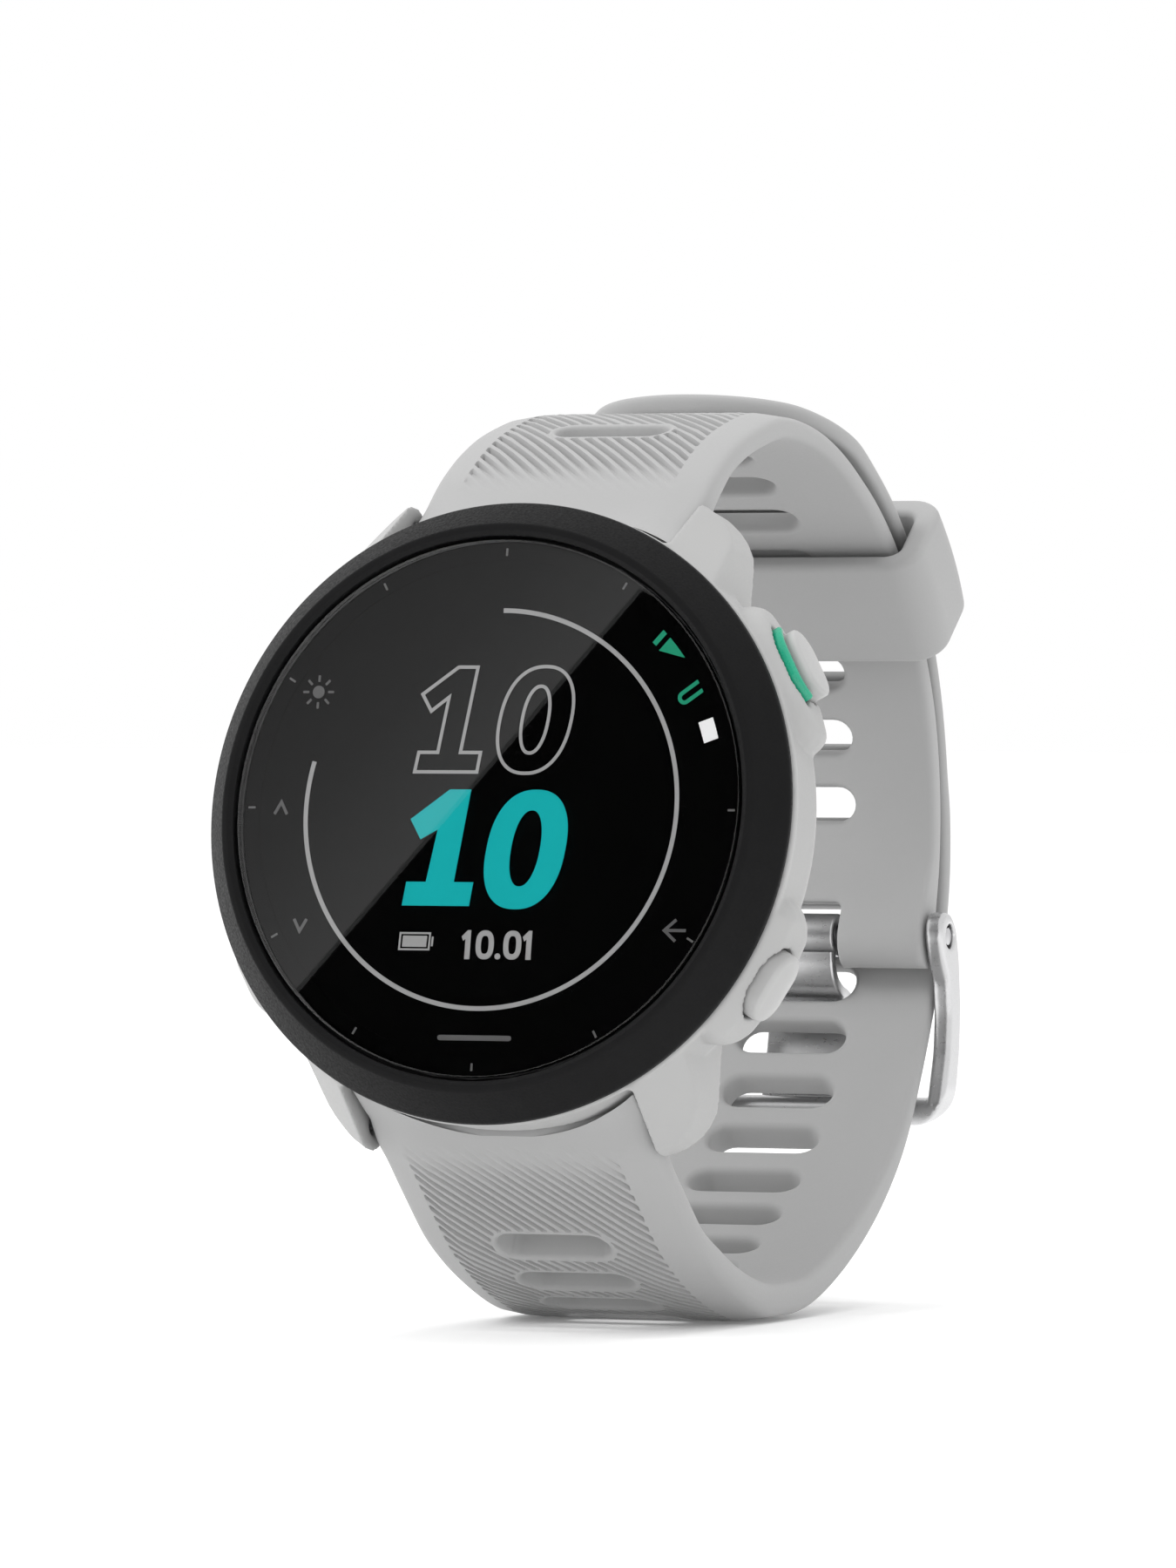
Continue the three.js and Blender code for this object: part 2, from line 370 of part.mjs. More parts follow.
let strapLong = prismX(longPoly, -STRAP_W, STRAP_W);
strapLong = strapLong.subtract(wallClear);
// round tip of the tail
const TIP = 85, tipR = STRAP_W, tipC = TIP - tipR / 28.6 / RAD;
const tipSector = prismX([polar(26.6, tipC), polar(31, tipC), polar(31.5, TIP + 3), polar(26.6, TIP + 3)], -11, 11);
const tipRound = solid(new THREE.CylinderGeometry(tipR, tipR, 12, 40),
  M([1, 0, 0], [0, ...dirOf(tipC)], [0, -Math.sin(tipC * RAD), Math.cos(tipC * RAD)].map((v) => v), [0, ...polar(28.5, tipC)]));
strapLong = strapLong.subtract(tipSector.subtract(tipRound));
for (let k = 0; k <= 6; k++) {
  const a = SLOT_DEG0 + SLOT_STEP * k;
  strapLong = strapLong.subtract(slotCut(polar(27.6, a), dirOf(a)));
}
// slots along the lower strap, walked back from the buckle tongue's slot
const path = longOuter.slice().reverse();       // from the tail side down to the case
function walk(from, dist) {                     // point on the path at a distance below a height
  let i = path.findIndex((p) => p[1] <= from), acc = 0;
  let cur = (() => { const a = path[i - 1], b = path[i], f = (a[1] - from) / (a[1] - b[1]); return [a[0] + (b[0] - a[0]) * f, from]; })();
  for (; i < path.length; i++) {
    const b = path[i], d = Math.hypot(b[0] - cur[0], b[1] - cur[1]);
    if (acc + d >= dist) {
      const f = (dist - acc) / d, t = [(b[0] - cur[0]) / d, (b[1] - cur[1]) / d];
      return { p: [cur[0] + (b[0] - cur[0]) * f, cur[1] + (b[1] - cur[1]) * f], n: [-t[1], t[0]] };
    }
    acc += d; cur = b;
  }
  return null;
}
const LOW_STEP = 4.65, LOW_START = -4.6;
const LOW_SLOTS = [];
for (let k = 0; k < 19; k++) { const s = walk(LOW_START, LOW_STEP * k); if (s) LOW_SLOTS.push(s); }
LOW_SLOTS.slice(0, 15).forEach((s, k) => {   // the tongue stretches the slot it passes through
  strapLong = strapLong.subtract(slotCut([s.p[0] - s.n[0] * 0.9, s.p[1] - s.n[1] * 0.9], s.n, SLOT_HALF, k === 2 ? 1.45 : SLOT_H));
});
strapLong = strapLong.subtract(cylX(1.05, -15, 15, BAR_LOW[0], BAR_LOW[1], 12));
strapLong = strapLong.subtract(knobWindow(-1));
add(root, 'strap_long', strapLong, LOOK.silicone);

// ---------- keeper ----------
const kn = dirOf(KEEPER_DEG), kt = [-kn[1], kn[0]];
const roundRect = (w, h0, h1, r, n = 3) => {
  const pts = [];
  for (const [cx, cy, a0] of [[w - r, h1 - r, 0], [-w + r, h1 - r, 90], [-w + r, h0 + r, 180], [w - r, h0 + r, 270]])
    for (let i = 0; i <= n; i++) { const a = (a0 + 90 * i / n) * RAD; pts.push([cx + r * Math.cos(a), cy + r * Math.sin(a)]); }
  return pts;
};
const keeperPrism = (poly, half) => solid(new THREE.ExtrudeGeometry(shapeOf(poly), { depth: 2 * half, bevelEnabled: false, steps: 1 }),
  M([1, 0, 0], [0, ...kn], [0, -kn[1], kn[0]].map((v) => v), [0, BAND[0] - kt[0] * half, BAND[1] - kt[1] * half]));
add(root, 'keeper', keeperPrism(roundRect(12.4, 22.3, 30.4, 2.2), 4.3).subtract(keeperPrism(roundRect(10.55, 23.85, 28.5, 0.9), 6)), LOOK.silicone);

// ---------- buckle ----------
const armOut = [[52.9, -7.75], [54.3, -7.85], [55.3, -8.9], [55.9, -11.2], [56.2, -14.4], [56.0, -17.4], [55.45, -19.9], [54.75, -21.7], [53.9, -22.6], [52.9, -22.6]];
const armIn = [[52.35, -21.6], [52.9, -19.9], [53.7, -17.5], [54.0, -14.8], [53.75, -12.6], [52.75, -11.1], [52.2, -9.6], [52.25, -8.4]];
let frame = prismX([...armOut, ...armIn], 10.15, 11.45).add(prismX([...armOut, ...armIn], -11.45, -10.15))
  .add(cylX(0.98, -11.35, 11.35, FRONT_BAR[0], FRONT_BAR[1], 14));
frame = frame.subtract(cylX(0.85, -15, 15, PIN[0], PIN[1], 12));
add(root, 'buckle_frame', frame, LOOK.steel);
add(root, 'buckle_bar', cylX(0.62, -11.3, 11.3, PIN[0], PIN[1], 12), LOOK.steel);
const tongueMid = [[52.95, -10.6], [53.0, -11.6], [53.5, -12.6], [54.6, -13.35], [55.9, -13.85], [56.75, -14.6], [57.0, -15.7], [56.75, -17.2], [56.2, -19.2], [55.6, -21.2], [55.25, -22.4]];
const tonguePlate = [...offset(tongueMid, 0.45), ...offset(tongueMid, -0.45).reverse()];
let tongue = prismX(tonguePlate, -3.2, 3.2).add(cylX(1.5, -3.2, 3.2, PIN[0], PIN[1], 20)).subtract(cylX(0.85, -5, 5, PIN[0], PIN[1], 12));
add(root, 'buckle_tongue', tongue, LOOK.steel);

export default root;
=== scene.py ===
"""Round running watch on a closed silicone strap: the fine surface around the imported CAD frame.

All shapes below are written in millimetres and turned into metres when a piece is made.
The case, dial and buttons are drawn in the case's own frame (x to three o'clock, y into the
case, z to twelve o'clock), which leans back 10 degrees. The strap is drawn in side view (y, z).
"""
import bpy
import bmesh
import json
import math
import numpy as np
from mathutils import Matrix, Vector
from mathutils.geometry import delaunay_2d_cdt, tessellate_polygon


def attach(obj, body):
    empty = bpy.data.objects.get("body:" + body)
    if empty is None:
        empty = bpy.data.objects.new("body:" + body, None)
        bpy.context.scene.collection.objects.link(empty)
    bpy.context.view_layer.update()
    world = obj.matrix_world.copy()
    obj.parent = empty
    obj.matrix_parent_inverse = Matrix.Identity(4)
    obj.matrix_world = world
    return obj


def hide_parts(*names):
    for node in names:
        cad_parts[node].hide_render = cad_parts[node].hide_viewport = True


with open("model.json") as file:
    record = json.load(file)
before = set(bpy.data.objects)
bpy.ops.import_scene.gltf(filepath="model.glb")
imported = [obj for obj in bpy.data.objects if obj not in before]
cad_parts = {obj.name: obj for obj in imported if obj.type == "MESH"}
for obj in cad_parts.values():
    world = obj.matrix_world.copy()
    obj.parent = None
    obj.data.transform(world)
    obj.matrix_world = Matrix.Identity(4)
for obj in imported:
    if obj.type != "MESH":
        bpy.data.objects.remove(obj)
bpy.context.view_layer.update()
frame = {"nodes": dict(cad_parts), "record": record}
nodes = frame["nodes"]
scene = bpy.context.scene

RAD = math.pi / 180
CT, ST = math.cos(10 * RAD), math.sin(10 * RAD)
MID_Y, BOTTOM = 26.0, -34.6
MM = 0.001
BAND = np.array([30.0, -1.3])
R_IN, R_OUT, R_TAIL_IN, R_TAIL_OUT = 24.6, 26.45, 26.75, 28.2
PIN = np.array([53.96, -9.47])
FRONT_BAR = (53.5, -21.6)
BUTTONS = [("start", 29, 6.0), ("back", -30, 4.7), ("light", 150, 5.9), ("up", 180, 5.9), ("down", 210, 5.9)]
CAP_L, CAP_W, CAP_R0 = 4.9, 3.3, 20.1

# case frame (mm) and side-view frame (mm) to the part frame (mm)
CASE = Matrix(((1, 0, 0, 0), (0, CT, ST, -MID_Y), (0, -ST, CT, -BOTTOM), (0, 0, 0, 1)))
SIDE = Matrix.Translation((0, -MID_Y, -BOTTOM))


def cw(y, z):
    return (y * CT + z * ST, -y * ST + z * CT)


def btn(deg, depth):
    """Button frame: X outwards, Y into the case, Z round the dial."""
    c, s = math.cos(deg * RAD), math.sin(deg * RAD)
    return CASE @ Matrix(((c, 0, -s, 0), (0, 1, 0, depth), (s, 0, c, 0), (0, 0, 0, 1)))


# ------------------------------------------------------------------ materials
def _link(t, a, b):
    t.links.new(a, b)


def material(name, color, rough, metal=0.0, grain=0.12, bump=0.25, depth=0.02, vary=0.04, rvary=0.08, cell=4.0,
             coat=0.0, emit=None, sheen=0.0, spec=0.5, streak=None, speck=0.0):
    """Procedural surface: fine grain in the bump, slow drift in colour and in roughness."""
    m = bpy.data.materials.new(name)
    m.use_nodes = True
    t = m.node_tree
    b = t.nodes["Principled BSDF"]
    b.inputs["Metallic"].default_value = metal
    b.inputs["Specular IOR Level"].default_value = spec
    b.inputs["Coat Weight"].default_value = coat
    b.inputs["Sheen Weight"].default_value = sheen
    tc = t.nodes.new("ShaderNodeTexCoord")
    src = tc.outputs["Object"]
    if streak:
        mp = t.nodes.new("ShaderNodeMapping")
        mp.inputs["Scale"].default_value = streak
        _link(t, src, mp.inputs["Vector"])
        fine_src = mp.outputs["Vector"]
    else:
        fine_src = src
    fine = t.nodes.new("ShaderNodeTexNoise")
    fine.inputs["Scale"].default_value = 1.0 / (grain * MM)
    fine.inputs["Detail"].default_value = 3.0
    _link(t, fine_src, fine.inputs["Vector"])
    slow = t.nodes.new("ShaderNodeTexNoise")
    slow.inputs["Scale"].default_value = 1.0 / (cell * MM)
    slow.inputs["Detail"].default_value = 4.0
    _link(t, src, slow.inputs["Vector"])
    mix = t.nodes.new("ShaderNodeMix")
    mix.data_type = "RGBA"
    lo = [max(0.0, c * (1 - vary)) for c in color]
    hi = [min(1.0, c * (1 + vary)) for c in color]
    mix.inputs["A"].default_value = (*lo, 1)
    mix.inputs["B"].default_value = (*hi, 1)
    _link(t, slow.outputs["Fac"], mix.inputs["Factor"])
    out = mix.outputs["Result"]
    if speck:
        dust = t.nodes.new("ShaderNodeTexNoise")
        dust.inputs["Scale"].default_value = 1.0 / (0.35 * MM)
        dust.inputs["Detail"].default_value = 6.0
        _link(t, src, dust.inputs["Vector"])
        ramp = t.nodes.new("ShaderNodeMapRange")
        ramp.inputs["From Min"].default_value = 0.62
        ramp.inputs["From Max"].default_value = 0.80
        ramp.inputs["To Min"].default_value = 0.0
        ramp.inputs["To Max"].default_value = speck
        _link(t, dust.outputs["Fac"], ramp.inputs["Value"])
        mx = t.nodes.new("ShaderNodeMix")
        mx.data_type = "RGBA"
        _link(t, ramp.outputs["Result"], mx.inputs["Factor"])
        _link(t, out, mx.inputs["A"])
        mx.inputs["B"].default_value = (*[c * 0.82 for c in color], 1)
        out = mx.outputs["Result"]
    _link(t, out, b.inputs["Base Color"])
    rr = t.nodes.new("ShaderNodeMapRange")
    rr.inputs["From Min"].default_value = 0.3
    rr.inputs["From Max"].default_value = 0.7
    rr.inputs["To Min"].default_value = max(0.02, rough - rvary)
    rr.inputs["To Max"].default_value = min(1.0, rough + rvary)
    _link(t, fine.outputs["Fac"], rr.inputs["Value"])
    _link(t, rr.outputs["Result"], b.inputs["Roughness"])
    if bump:
        bp = t.nodes.new("ShaderNodeBump")
        bp.inputs["Strength"].default_value = bump
        bp.inputs["Distance"].default_value = depth * MM
        _link(t, fine.outputs["Fac"], bp.inputs["Height"])
        _link(t, bp.outputs["Normal"], b.inputs["Normal"])
    # emit: painted glow, the surface gives off light in its own colour though it is no lamp
    if emit:
        b.inputs["Emission Color"].default_value = (*color, 1)
        b.inputs["Emission Strength"].default_value = emit
    return m


def glass_material(name):
    """Clear cover glass: lets the dial through and mirrors the room a little, with faint wiping marks."""
    m = bpy.data.materials.new(name)
    m.use_nodes = True
    t = m.node_tree
    t.nodes.remove(t.nodes["Principled BSDF"])
    out = t.nodes["Material Output"]
    tr = t.nodes.new("ShaderNodeBsdfTransparent")
    gl = t.nodes.new("ShaderNodeBsdfGlossy")
    fr = t.nodes.new("ShaderNodeFresnel")
    fr.inputs["IOR"].default_value = 1.5
    mx = t.nodes.new("ShaderNodeMixShader")
    tc = t.nodes.new("ShaderNodeTexCoord")
    mp = t.nodes.new("ShaderNodeMapping")
    mp.inputs["Scale"].default_value = (1.0, 1.0, 4.0)
    mp.inputs["Rotation"].default_value = (0.0, 0.7, 0.0)
    ns = t.nodes.new("ShaderNodeTexNoise")
    ns.inputs["Scale"].default_value = 220.0
    ns.inputs["Detail"].default_value = 5.0
    rr = t.nodes.new("ShaderNodeMapRange")
    rr.inputs["To Min"].default_value = 0.0
    rr.inputs["To Max"].default_value = 0.008
    _link(t, tc.outputs["Object"], mp.inputs["Vector"])
    _link(t, mp.outputs["Vector"], ns.inputs["Vector"])
    _link(t, ns.outputs["Fac"], rr.inputs["Value"])
    _link(t, rr.outputs["Result"], gl.inputs["Roughness"])
    _link(t, fr.outputs["Fac"], mx.inputs["Fac"])
    _link(t, tr.outputs["BSDF"], mx.inputs[1])
    _link(t, gl.outputs["BSDF"], mx.inputs[2])
    _link(t, mx.outputs["Shader"], out.inputs["Surface"])
    return m


MAT = {
    "silicone": material("silicone_soft", (0.365, 0.365, 0.365), 0.62, grain=0.16, bump=0.22, depth=0.02, vary=0.025, cell=9, sheen=0.08, speck=0.10, spec=0.4),
    "case_shell": material("shell_moulded", (0.395, 0.395, 0.393), 0.52, grain=0.13, bump=0.30, depth=0.022, vary=0.02, cell=7, speck=0.08, spec=0.42),
    "back_cover": material("back_moulded", (0.36, 0.36, 0.363), 0.5, grain=0.13, bump=0.3, depth=0.022, vary=0.03, cell=6, speck=0.1, spec=0.42),
    "button_plastic": material("button_satin", (0.42, 0.42, 0.418), 0.42, grain=0.12, bump=0.2, depth=0.015, vary=0.02, cell=3, spec=0.45),
    "bezel": material("bezel_satin", (0.0045, 0.0045, 0.0048), 0.47, grain=0.17, bump=0.5, depth=0.03, vary=0.25, cell=1.2, spec=0.12, rvary=0.12),
    "glass": glass_material("cover_glass"),
    "display": material("display_black", (0.0012, 0.0012, 0.0013), 0.6, grain=0.09, bump=0.1, depth=0.004, vary=0.2, cell=5, spec=0.03),
    # dial print: the marks' own printed colours, each with a painted glow (emit) that keeps them bright under the cover
    # glass
    "print_grey": material("print_grey", (0.40, 0.40, 0.40), 0.6, grain=0.08, bump=0.1, depth=0.004, vary=0.06, cell=2, emit=0.30, spec=0.1),
    "print_dim": material("print_dim", (0.14, 0.14, 0.14), 0.6, grain=0.08, bump=0.1, depth=0.004, vary=0.08, cell=2, emit=0.2, spec=0.2),
    "print_white": material("print_white", (0.80, 0.80, 0.80), 0.6, grain=0.08, bump=0.1, depth=0.004, vary=0.03, cell=2, emit=0.55, spec=0.2),
    "print_teal": material("print_teal", (0.006, 0.36, 0.37), 0.6, grain=0.08, bump=0.1, depth=0.004, vary=0.05, cell=2, emit=0.55, spec=0.1),
    "print_green": material("print_green", (0.018, 0.36, 0.20), 0.6, grain=0.08, bump=0.1, depth=0.004, vary=0.05, cell=2, emit=0.25, spec=0.2),
    "green_accent": material("accent_green", (0.004, 0.33, 0.19), 0.3, grain=0.2, bump=0.1, depth=0.01, vary=0.10, cell=1.0, coat=0.3),
    "buckle_steel": material("steel_satin", (0.60, 0.60, 0.605), 0.30, metal=1.0, grain=0.16, bump=0.04, depth=0.004, vary=0.02, cell=3.5, streak=(0.35, 1, 1), rvary=0.035),
    "small_steel": material("steel_turned", (0.55, 0.55, 0.56), 0.33, metal=1.0, grain=0.10, bump=0.05, depth=0.004, vary=0.03, cell=1.5, streak=(0.35, 1, 1), rvary=0.04),
    "sensor_window": material("sensor_black", (0.006, 0.006, 0.007), 0.12, grain=0.3, bump=0.05, depth=0.004, vary=0.2, cell=3, coat=0.6, rvary=0.04),
    "seal_rubber": material("seal_rubber", (0.02, 0.02, 0.021), 0.7, grain=0.12, bump=0.3, depth=0.01, vary=0.15, cell=1.0),
    "inner_plastic": material("inner_plastic", (0.04, 0.04, 0.043), 0.55, grain=0.12, bump=0.3, depth=0.01, vary=0.15, cell=2.0),
    "circuit_board": material("circuit_board", (0.015, 0.10, 0.04), 0.4, grain=0.25, bump=0.3, depth=0.01, vary=0.25, cell=0.8),
    "battery_foil": material("battery_foil", (0.5, 0.51, 0.53), 0.35, metal=0.8, grain=0.4, bump=0.3, depth=0.02, vary=0.08, cell=2.0),
    "gold_plate": material("gold_plate", (0.80, 0.58, 0.22), 0.25, metal=1.0, grain=0.08, bump=0.15, depth=0.005, vary=0.06, cell=1.0),
}


# ------------------------------------------------------------------ mesh helpers
def link_mesh(name, me):
    o = bpy.data.objects.new(name, me)
    scene.collection.objects.link(o)
    return o


def raw(verts, faces, name="tmp"):
    me = bpy.data.meshes.new(name)
    me.from_pydata([tuple(map(float, v)) for v in verts], [], [tuple(map(int, f)) for f in faces])
    me.update()
    return me


def clean(me, merge=1e-4, triangulate=False):
    bm = bmesh.new()
    bm.from_mesh(me)
    bmesh.ops.remove_doubles(bm, verts=bm.verts, dist=merge)
    bmesh.ops.dissolve_degenerate(bm, dist=merge * 0.5, edges=bm.edges)
    if triangulate:
        bmesh.ops.triangulate(bm, faces=bm.faces)
    bmesh.ops.recalc_face_normals(bm, faces=bm.faces)
    bm.to_mesh(me)
    bm.free()
    return me


def finish_piece(name, me, body, mat, replaces=(), sharp=35.0, matrix=SIDE):
    """Mesh in mm, in the frame that matrix leads out of, to a piece in metres that rides on body."""
    me.transform(Matrix.Scale(MM, 4) @ matrix)
    me.name = name
    for p in me.polygons:
        p.use_smooth = True
    me.set_sharp_from_angle(angle=sharp * RAD)
    me.materials.clear()
    me.materials.append(MAT[mat])
    o = link_mesh(name, me)
    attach(o, body)
    if replaces:
        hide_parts(*replaces)
    return o


def evaluated(o, drop=True):
    dg = bpy.context.evaluated_depsgraph_get()
    me = bpy.data.meshes.new_from_object(o.evaluated_get(dg))
    if drop:
        old = o.data
        bpy.data.objects.remove(o)
        bpy.data.meshes.remove(old)
    return me


def boolean(me, cutters, op="DIFFERENCE", solver="MANIFOLD"):
    """me joined with or cut by each mesh in cutters (all in the same mm frame)."""
    base = link_mesh("bool_base", me)
    tools = [link_mesh("bool_tool", c) for c in cutters]
    for k, c in enumerate(tools):
        md = base.modifiers.new("b%d" % k, "BOOLEAN")
        md.operation = op
        md.solver = solver
        md.object = c
    out = evaluated(base)
    for c in tools:
        d = c.data
        bpy.data.objects.remove(c)
        bpy.data.meshes.remove(d)
    return out


def join(meshes):
    bm = bmesh.new()
    for m in meshes:
        bm.from_mesh(m)
    out = bpy.data.meshes.new("joined")
    bm.to_mesh(out)
    bm.free()
    return out


def remesh(me, voxel, rounds=6, factor=0.5):
    o = link_mesh("remesh", me)
    md = o.modifiers.new("r", "REMESH")
    md.mode = "VOXEL"
    md.voxel_size = voxel
    sm = o.modifiers.new("s", "SMOOTH")
    sm.factor = factor
    sm.iterations = rounds
    return evaluated(o)


def bevelled(me, width, segments=3, angle=30):
    o = link_mesh("bevel", me)
    md = o.modifiers.new("b", "BEVEL")
    md.width = width
    md.segments = segments
    md.limit_method = "ANGLE"
    md.angle_limit = angle * RAD
    return evaluated(o)


def lathe(profile, seg=192, closed=None):
    """Ring or disc about the y axis from (radius, y) pairs; a profile that leaves the axis closes on itself."""
    if closed is None:
        closed = profile[0][0] > 1e-6
    verts, faces = [], []
    n = len(profile)
    index = []
    for i, (r, y) in enumerate(profile):
        if r < 1e-6:
            index.append([len(verts)] * seg)
            verts.append((0, y, 0))
        else:
            row = []
            for k in range(seg):
                a = 2 * math.pi * k / seg
                row.append(len(verts))
                verts.append((r * math.cos(a), y, r * math.sin(a)))
            index.append(row)
    pairs = [(i, i + 1) for i in range(n - 1)] + ([(n - 1, 0)] if closed else [])
    for i, j in pairs:
        for k in range(seg):
            q = [index[i][k], index[i][(k + 1) % seg], index[j][(k + 1) % seg], index[j][k]]
            f = []
            for v in q:
                if v not in f:
                    f.append(v)
            if len(f) > 2:
                faces.append(f)
    return clean(raw(verts, faces))


def rounded(poly, radius, n=4, closed=True):
    """Corners of a 2-D outline turned into arcs; radius is one number or one per corner."""
    out = []
    m = len(poly)
    for i, p in enumerate(poly):
        r = radius[i] if isinstance(radius, (list, tuple)) else radius
        if r <= 0 or (not closed and i in (0, m - 1)):
            out.append(tuple(p))
            continue
        a = Vector(poly[i - 1]) - Vector(p)
        b = Vector(poly[(i + 1) % m]) - Vector(p)
        la, lb = a.length, b.length
        a.normalize()
        b.normalize()
        ang = a.angle(b)
        d = min(r / math.tan(ang / 2), 0.48 * la, 0.48 * lb)
        rr = d * math.tan(ang / 2)
        bis = (a + b).normalized()
        c = Vector(p) + bis * (rr / math.sin(ang / 2))
        s, e = Vector(p) + a * d - c, Vector(p) + b * d - c
        t0 = math.atan2(s.y, s.x)
        t1 = math.atan2(e.y, e.x)
        dt = (t1 - t0 + math.pi) % (2 * math.pi) - math.pi
        for k in range(n + 1):
            t = t0 + dt * k / n
            out.append((c.x + rr * math.cos(t), c.y + rr * math.sin(t)))
    return out


def prism(poly, axis, lo, hi):
    """Outline extruded along an axis. axis X: outline is (y, z). axis Y: outline is (x, z)."""
    n = len(poly)
    verts = []
    for t in (lo, hi):
        for a, b in poly:
            verts.append((t, a, b) if axis == "X" else (a, t, b))
    faces = [tuple(range(n)), tuple(range(2 * n - 1, n - 1, -1))]
    faces += [(i, (i + 1) % n, n + (i + 1) % n, n + i) for i in range(n)]
    me = raw(verts, faces)
    bm = bmesh.new()
    bm.from_mesh(me)
    bmesh.ops.recalc_face_normals(bm, faces=bm.faces)
    bm.to_mesh(me)
    bm.free()
    return me


def cylinder(r, lo, hi, axis, a, b, seg=48):
    poly = [(a + r * math.cos(2 * math.pi * k / seg), b + r * math.sin(2 * math.pi * k / seg)) for k in range(seg)]
    return prism(poly, axis, lo, hi)


def boxmesh(x0, x1, y0, y1, z0, z1):
    return prism([(y0, z0), (y1, z0), (y1, z1), (y0, z1)], "X", x0, x1)


def moved(me, matrix):
    me.transform(matrix)
    return me


def smooth_line(points, step=0.25, passes=2):
    """Points joined by a smooth curve (Catmull-Rom, centripetal) and sampled evenly."""
    P = np.array(points, float)
    P = np.vstack([2 * P[0] - P[1], P, 2 * P[-1] - P[-2]])
    out = []
    for i in range(1, len(P) - 2):
        p0, p1, p2, p3 = P[i - 1], P[i], P[i + 1], P[i + 2]
        t0 = 0.0
        t1 = t0 + max(np.linalg.norm(p1 - p0), 1e-6) ** 0.5
        t2 = t1 + max(np.linalg.norm(p2 - p1), 1e-6) ** 0.5
        t3 = t2 + max(np.linalg.norm(p3 - p2), 1e-6) ** 0.5
        for k in range(12):
            t = t1 + (t2 - t1) * k / 12
            a1 = (t1 - t) / (t1 - t0) * p0 + (t - t0) / (t1 - t0) * p1
            a2 = (t2 - t) / (t2 - t1) * p1 + (t - t1) / (t2 - t1) * p2
            a3 = (t3 - t) / (t3 - t2) * p2 + (t - t2) / (t3 - t2) * p3
            b1 = (t2 - t) / (t2 - t0) * a1 + (t - t0) / (t2 - t0) * a2
            b2 = (t3 - t) / (t3 - t1) * a2 + (t - t1) / (t3 - t1) * a3
            out.append((t2 - t) / (t2 - t1) * b1 + (t - t1) / (t2 - t1) * b2)
    out.append(P[-2])
    Q = np.array(out)
    return even(Q, step)


def even(Q, step):
    d = np.r_[0, np.cumsum(np.linalg.norm(np.diff(Q, axis=0), axis=1))]
    n = max(2, int(round(d[-1] / step)) + 1)
    s = np.linspace(0, d[-1], n)
    return np.stack([np.interp(s, d, Q[:, k]) for k in range(Q.shape[1])], 1)


def lengths(Q):
    return np.r_[0, np.cumsum(np.linalg.norm(np.diff(Q, axis=0), axis=1))]


def soften(Q, passes):
    Q = Q.copy()
    for _ in range(passes):
        Q[1:-1] = 0.25 * Q[:-2] + 0.5 * Q[1:-1] + 0.25 * Q[2:]
    return Q


def arc(c, r, a0, a1, n):
    return [(c[0] + r * math.cos((a0 + (a1 - a0) * i / n) * RAD), c[1] + r * math.sin((a0 + (a1 - a0) * i / n) * RAD)) for i in range(n + 1)]


def polar(R, d):
    return (BAND[0] + R * math.cos(d * RAD), BAND[1] + R * math.sin(d * RAD))


def smoothstep(x, a, b):
    t = np.clip((x - a) / (b - a), 0, 1)
    return t * t * (3 - 2 * t)


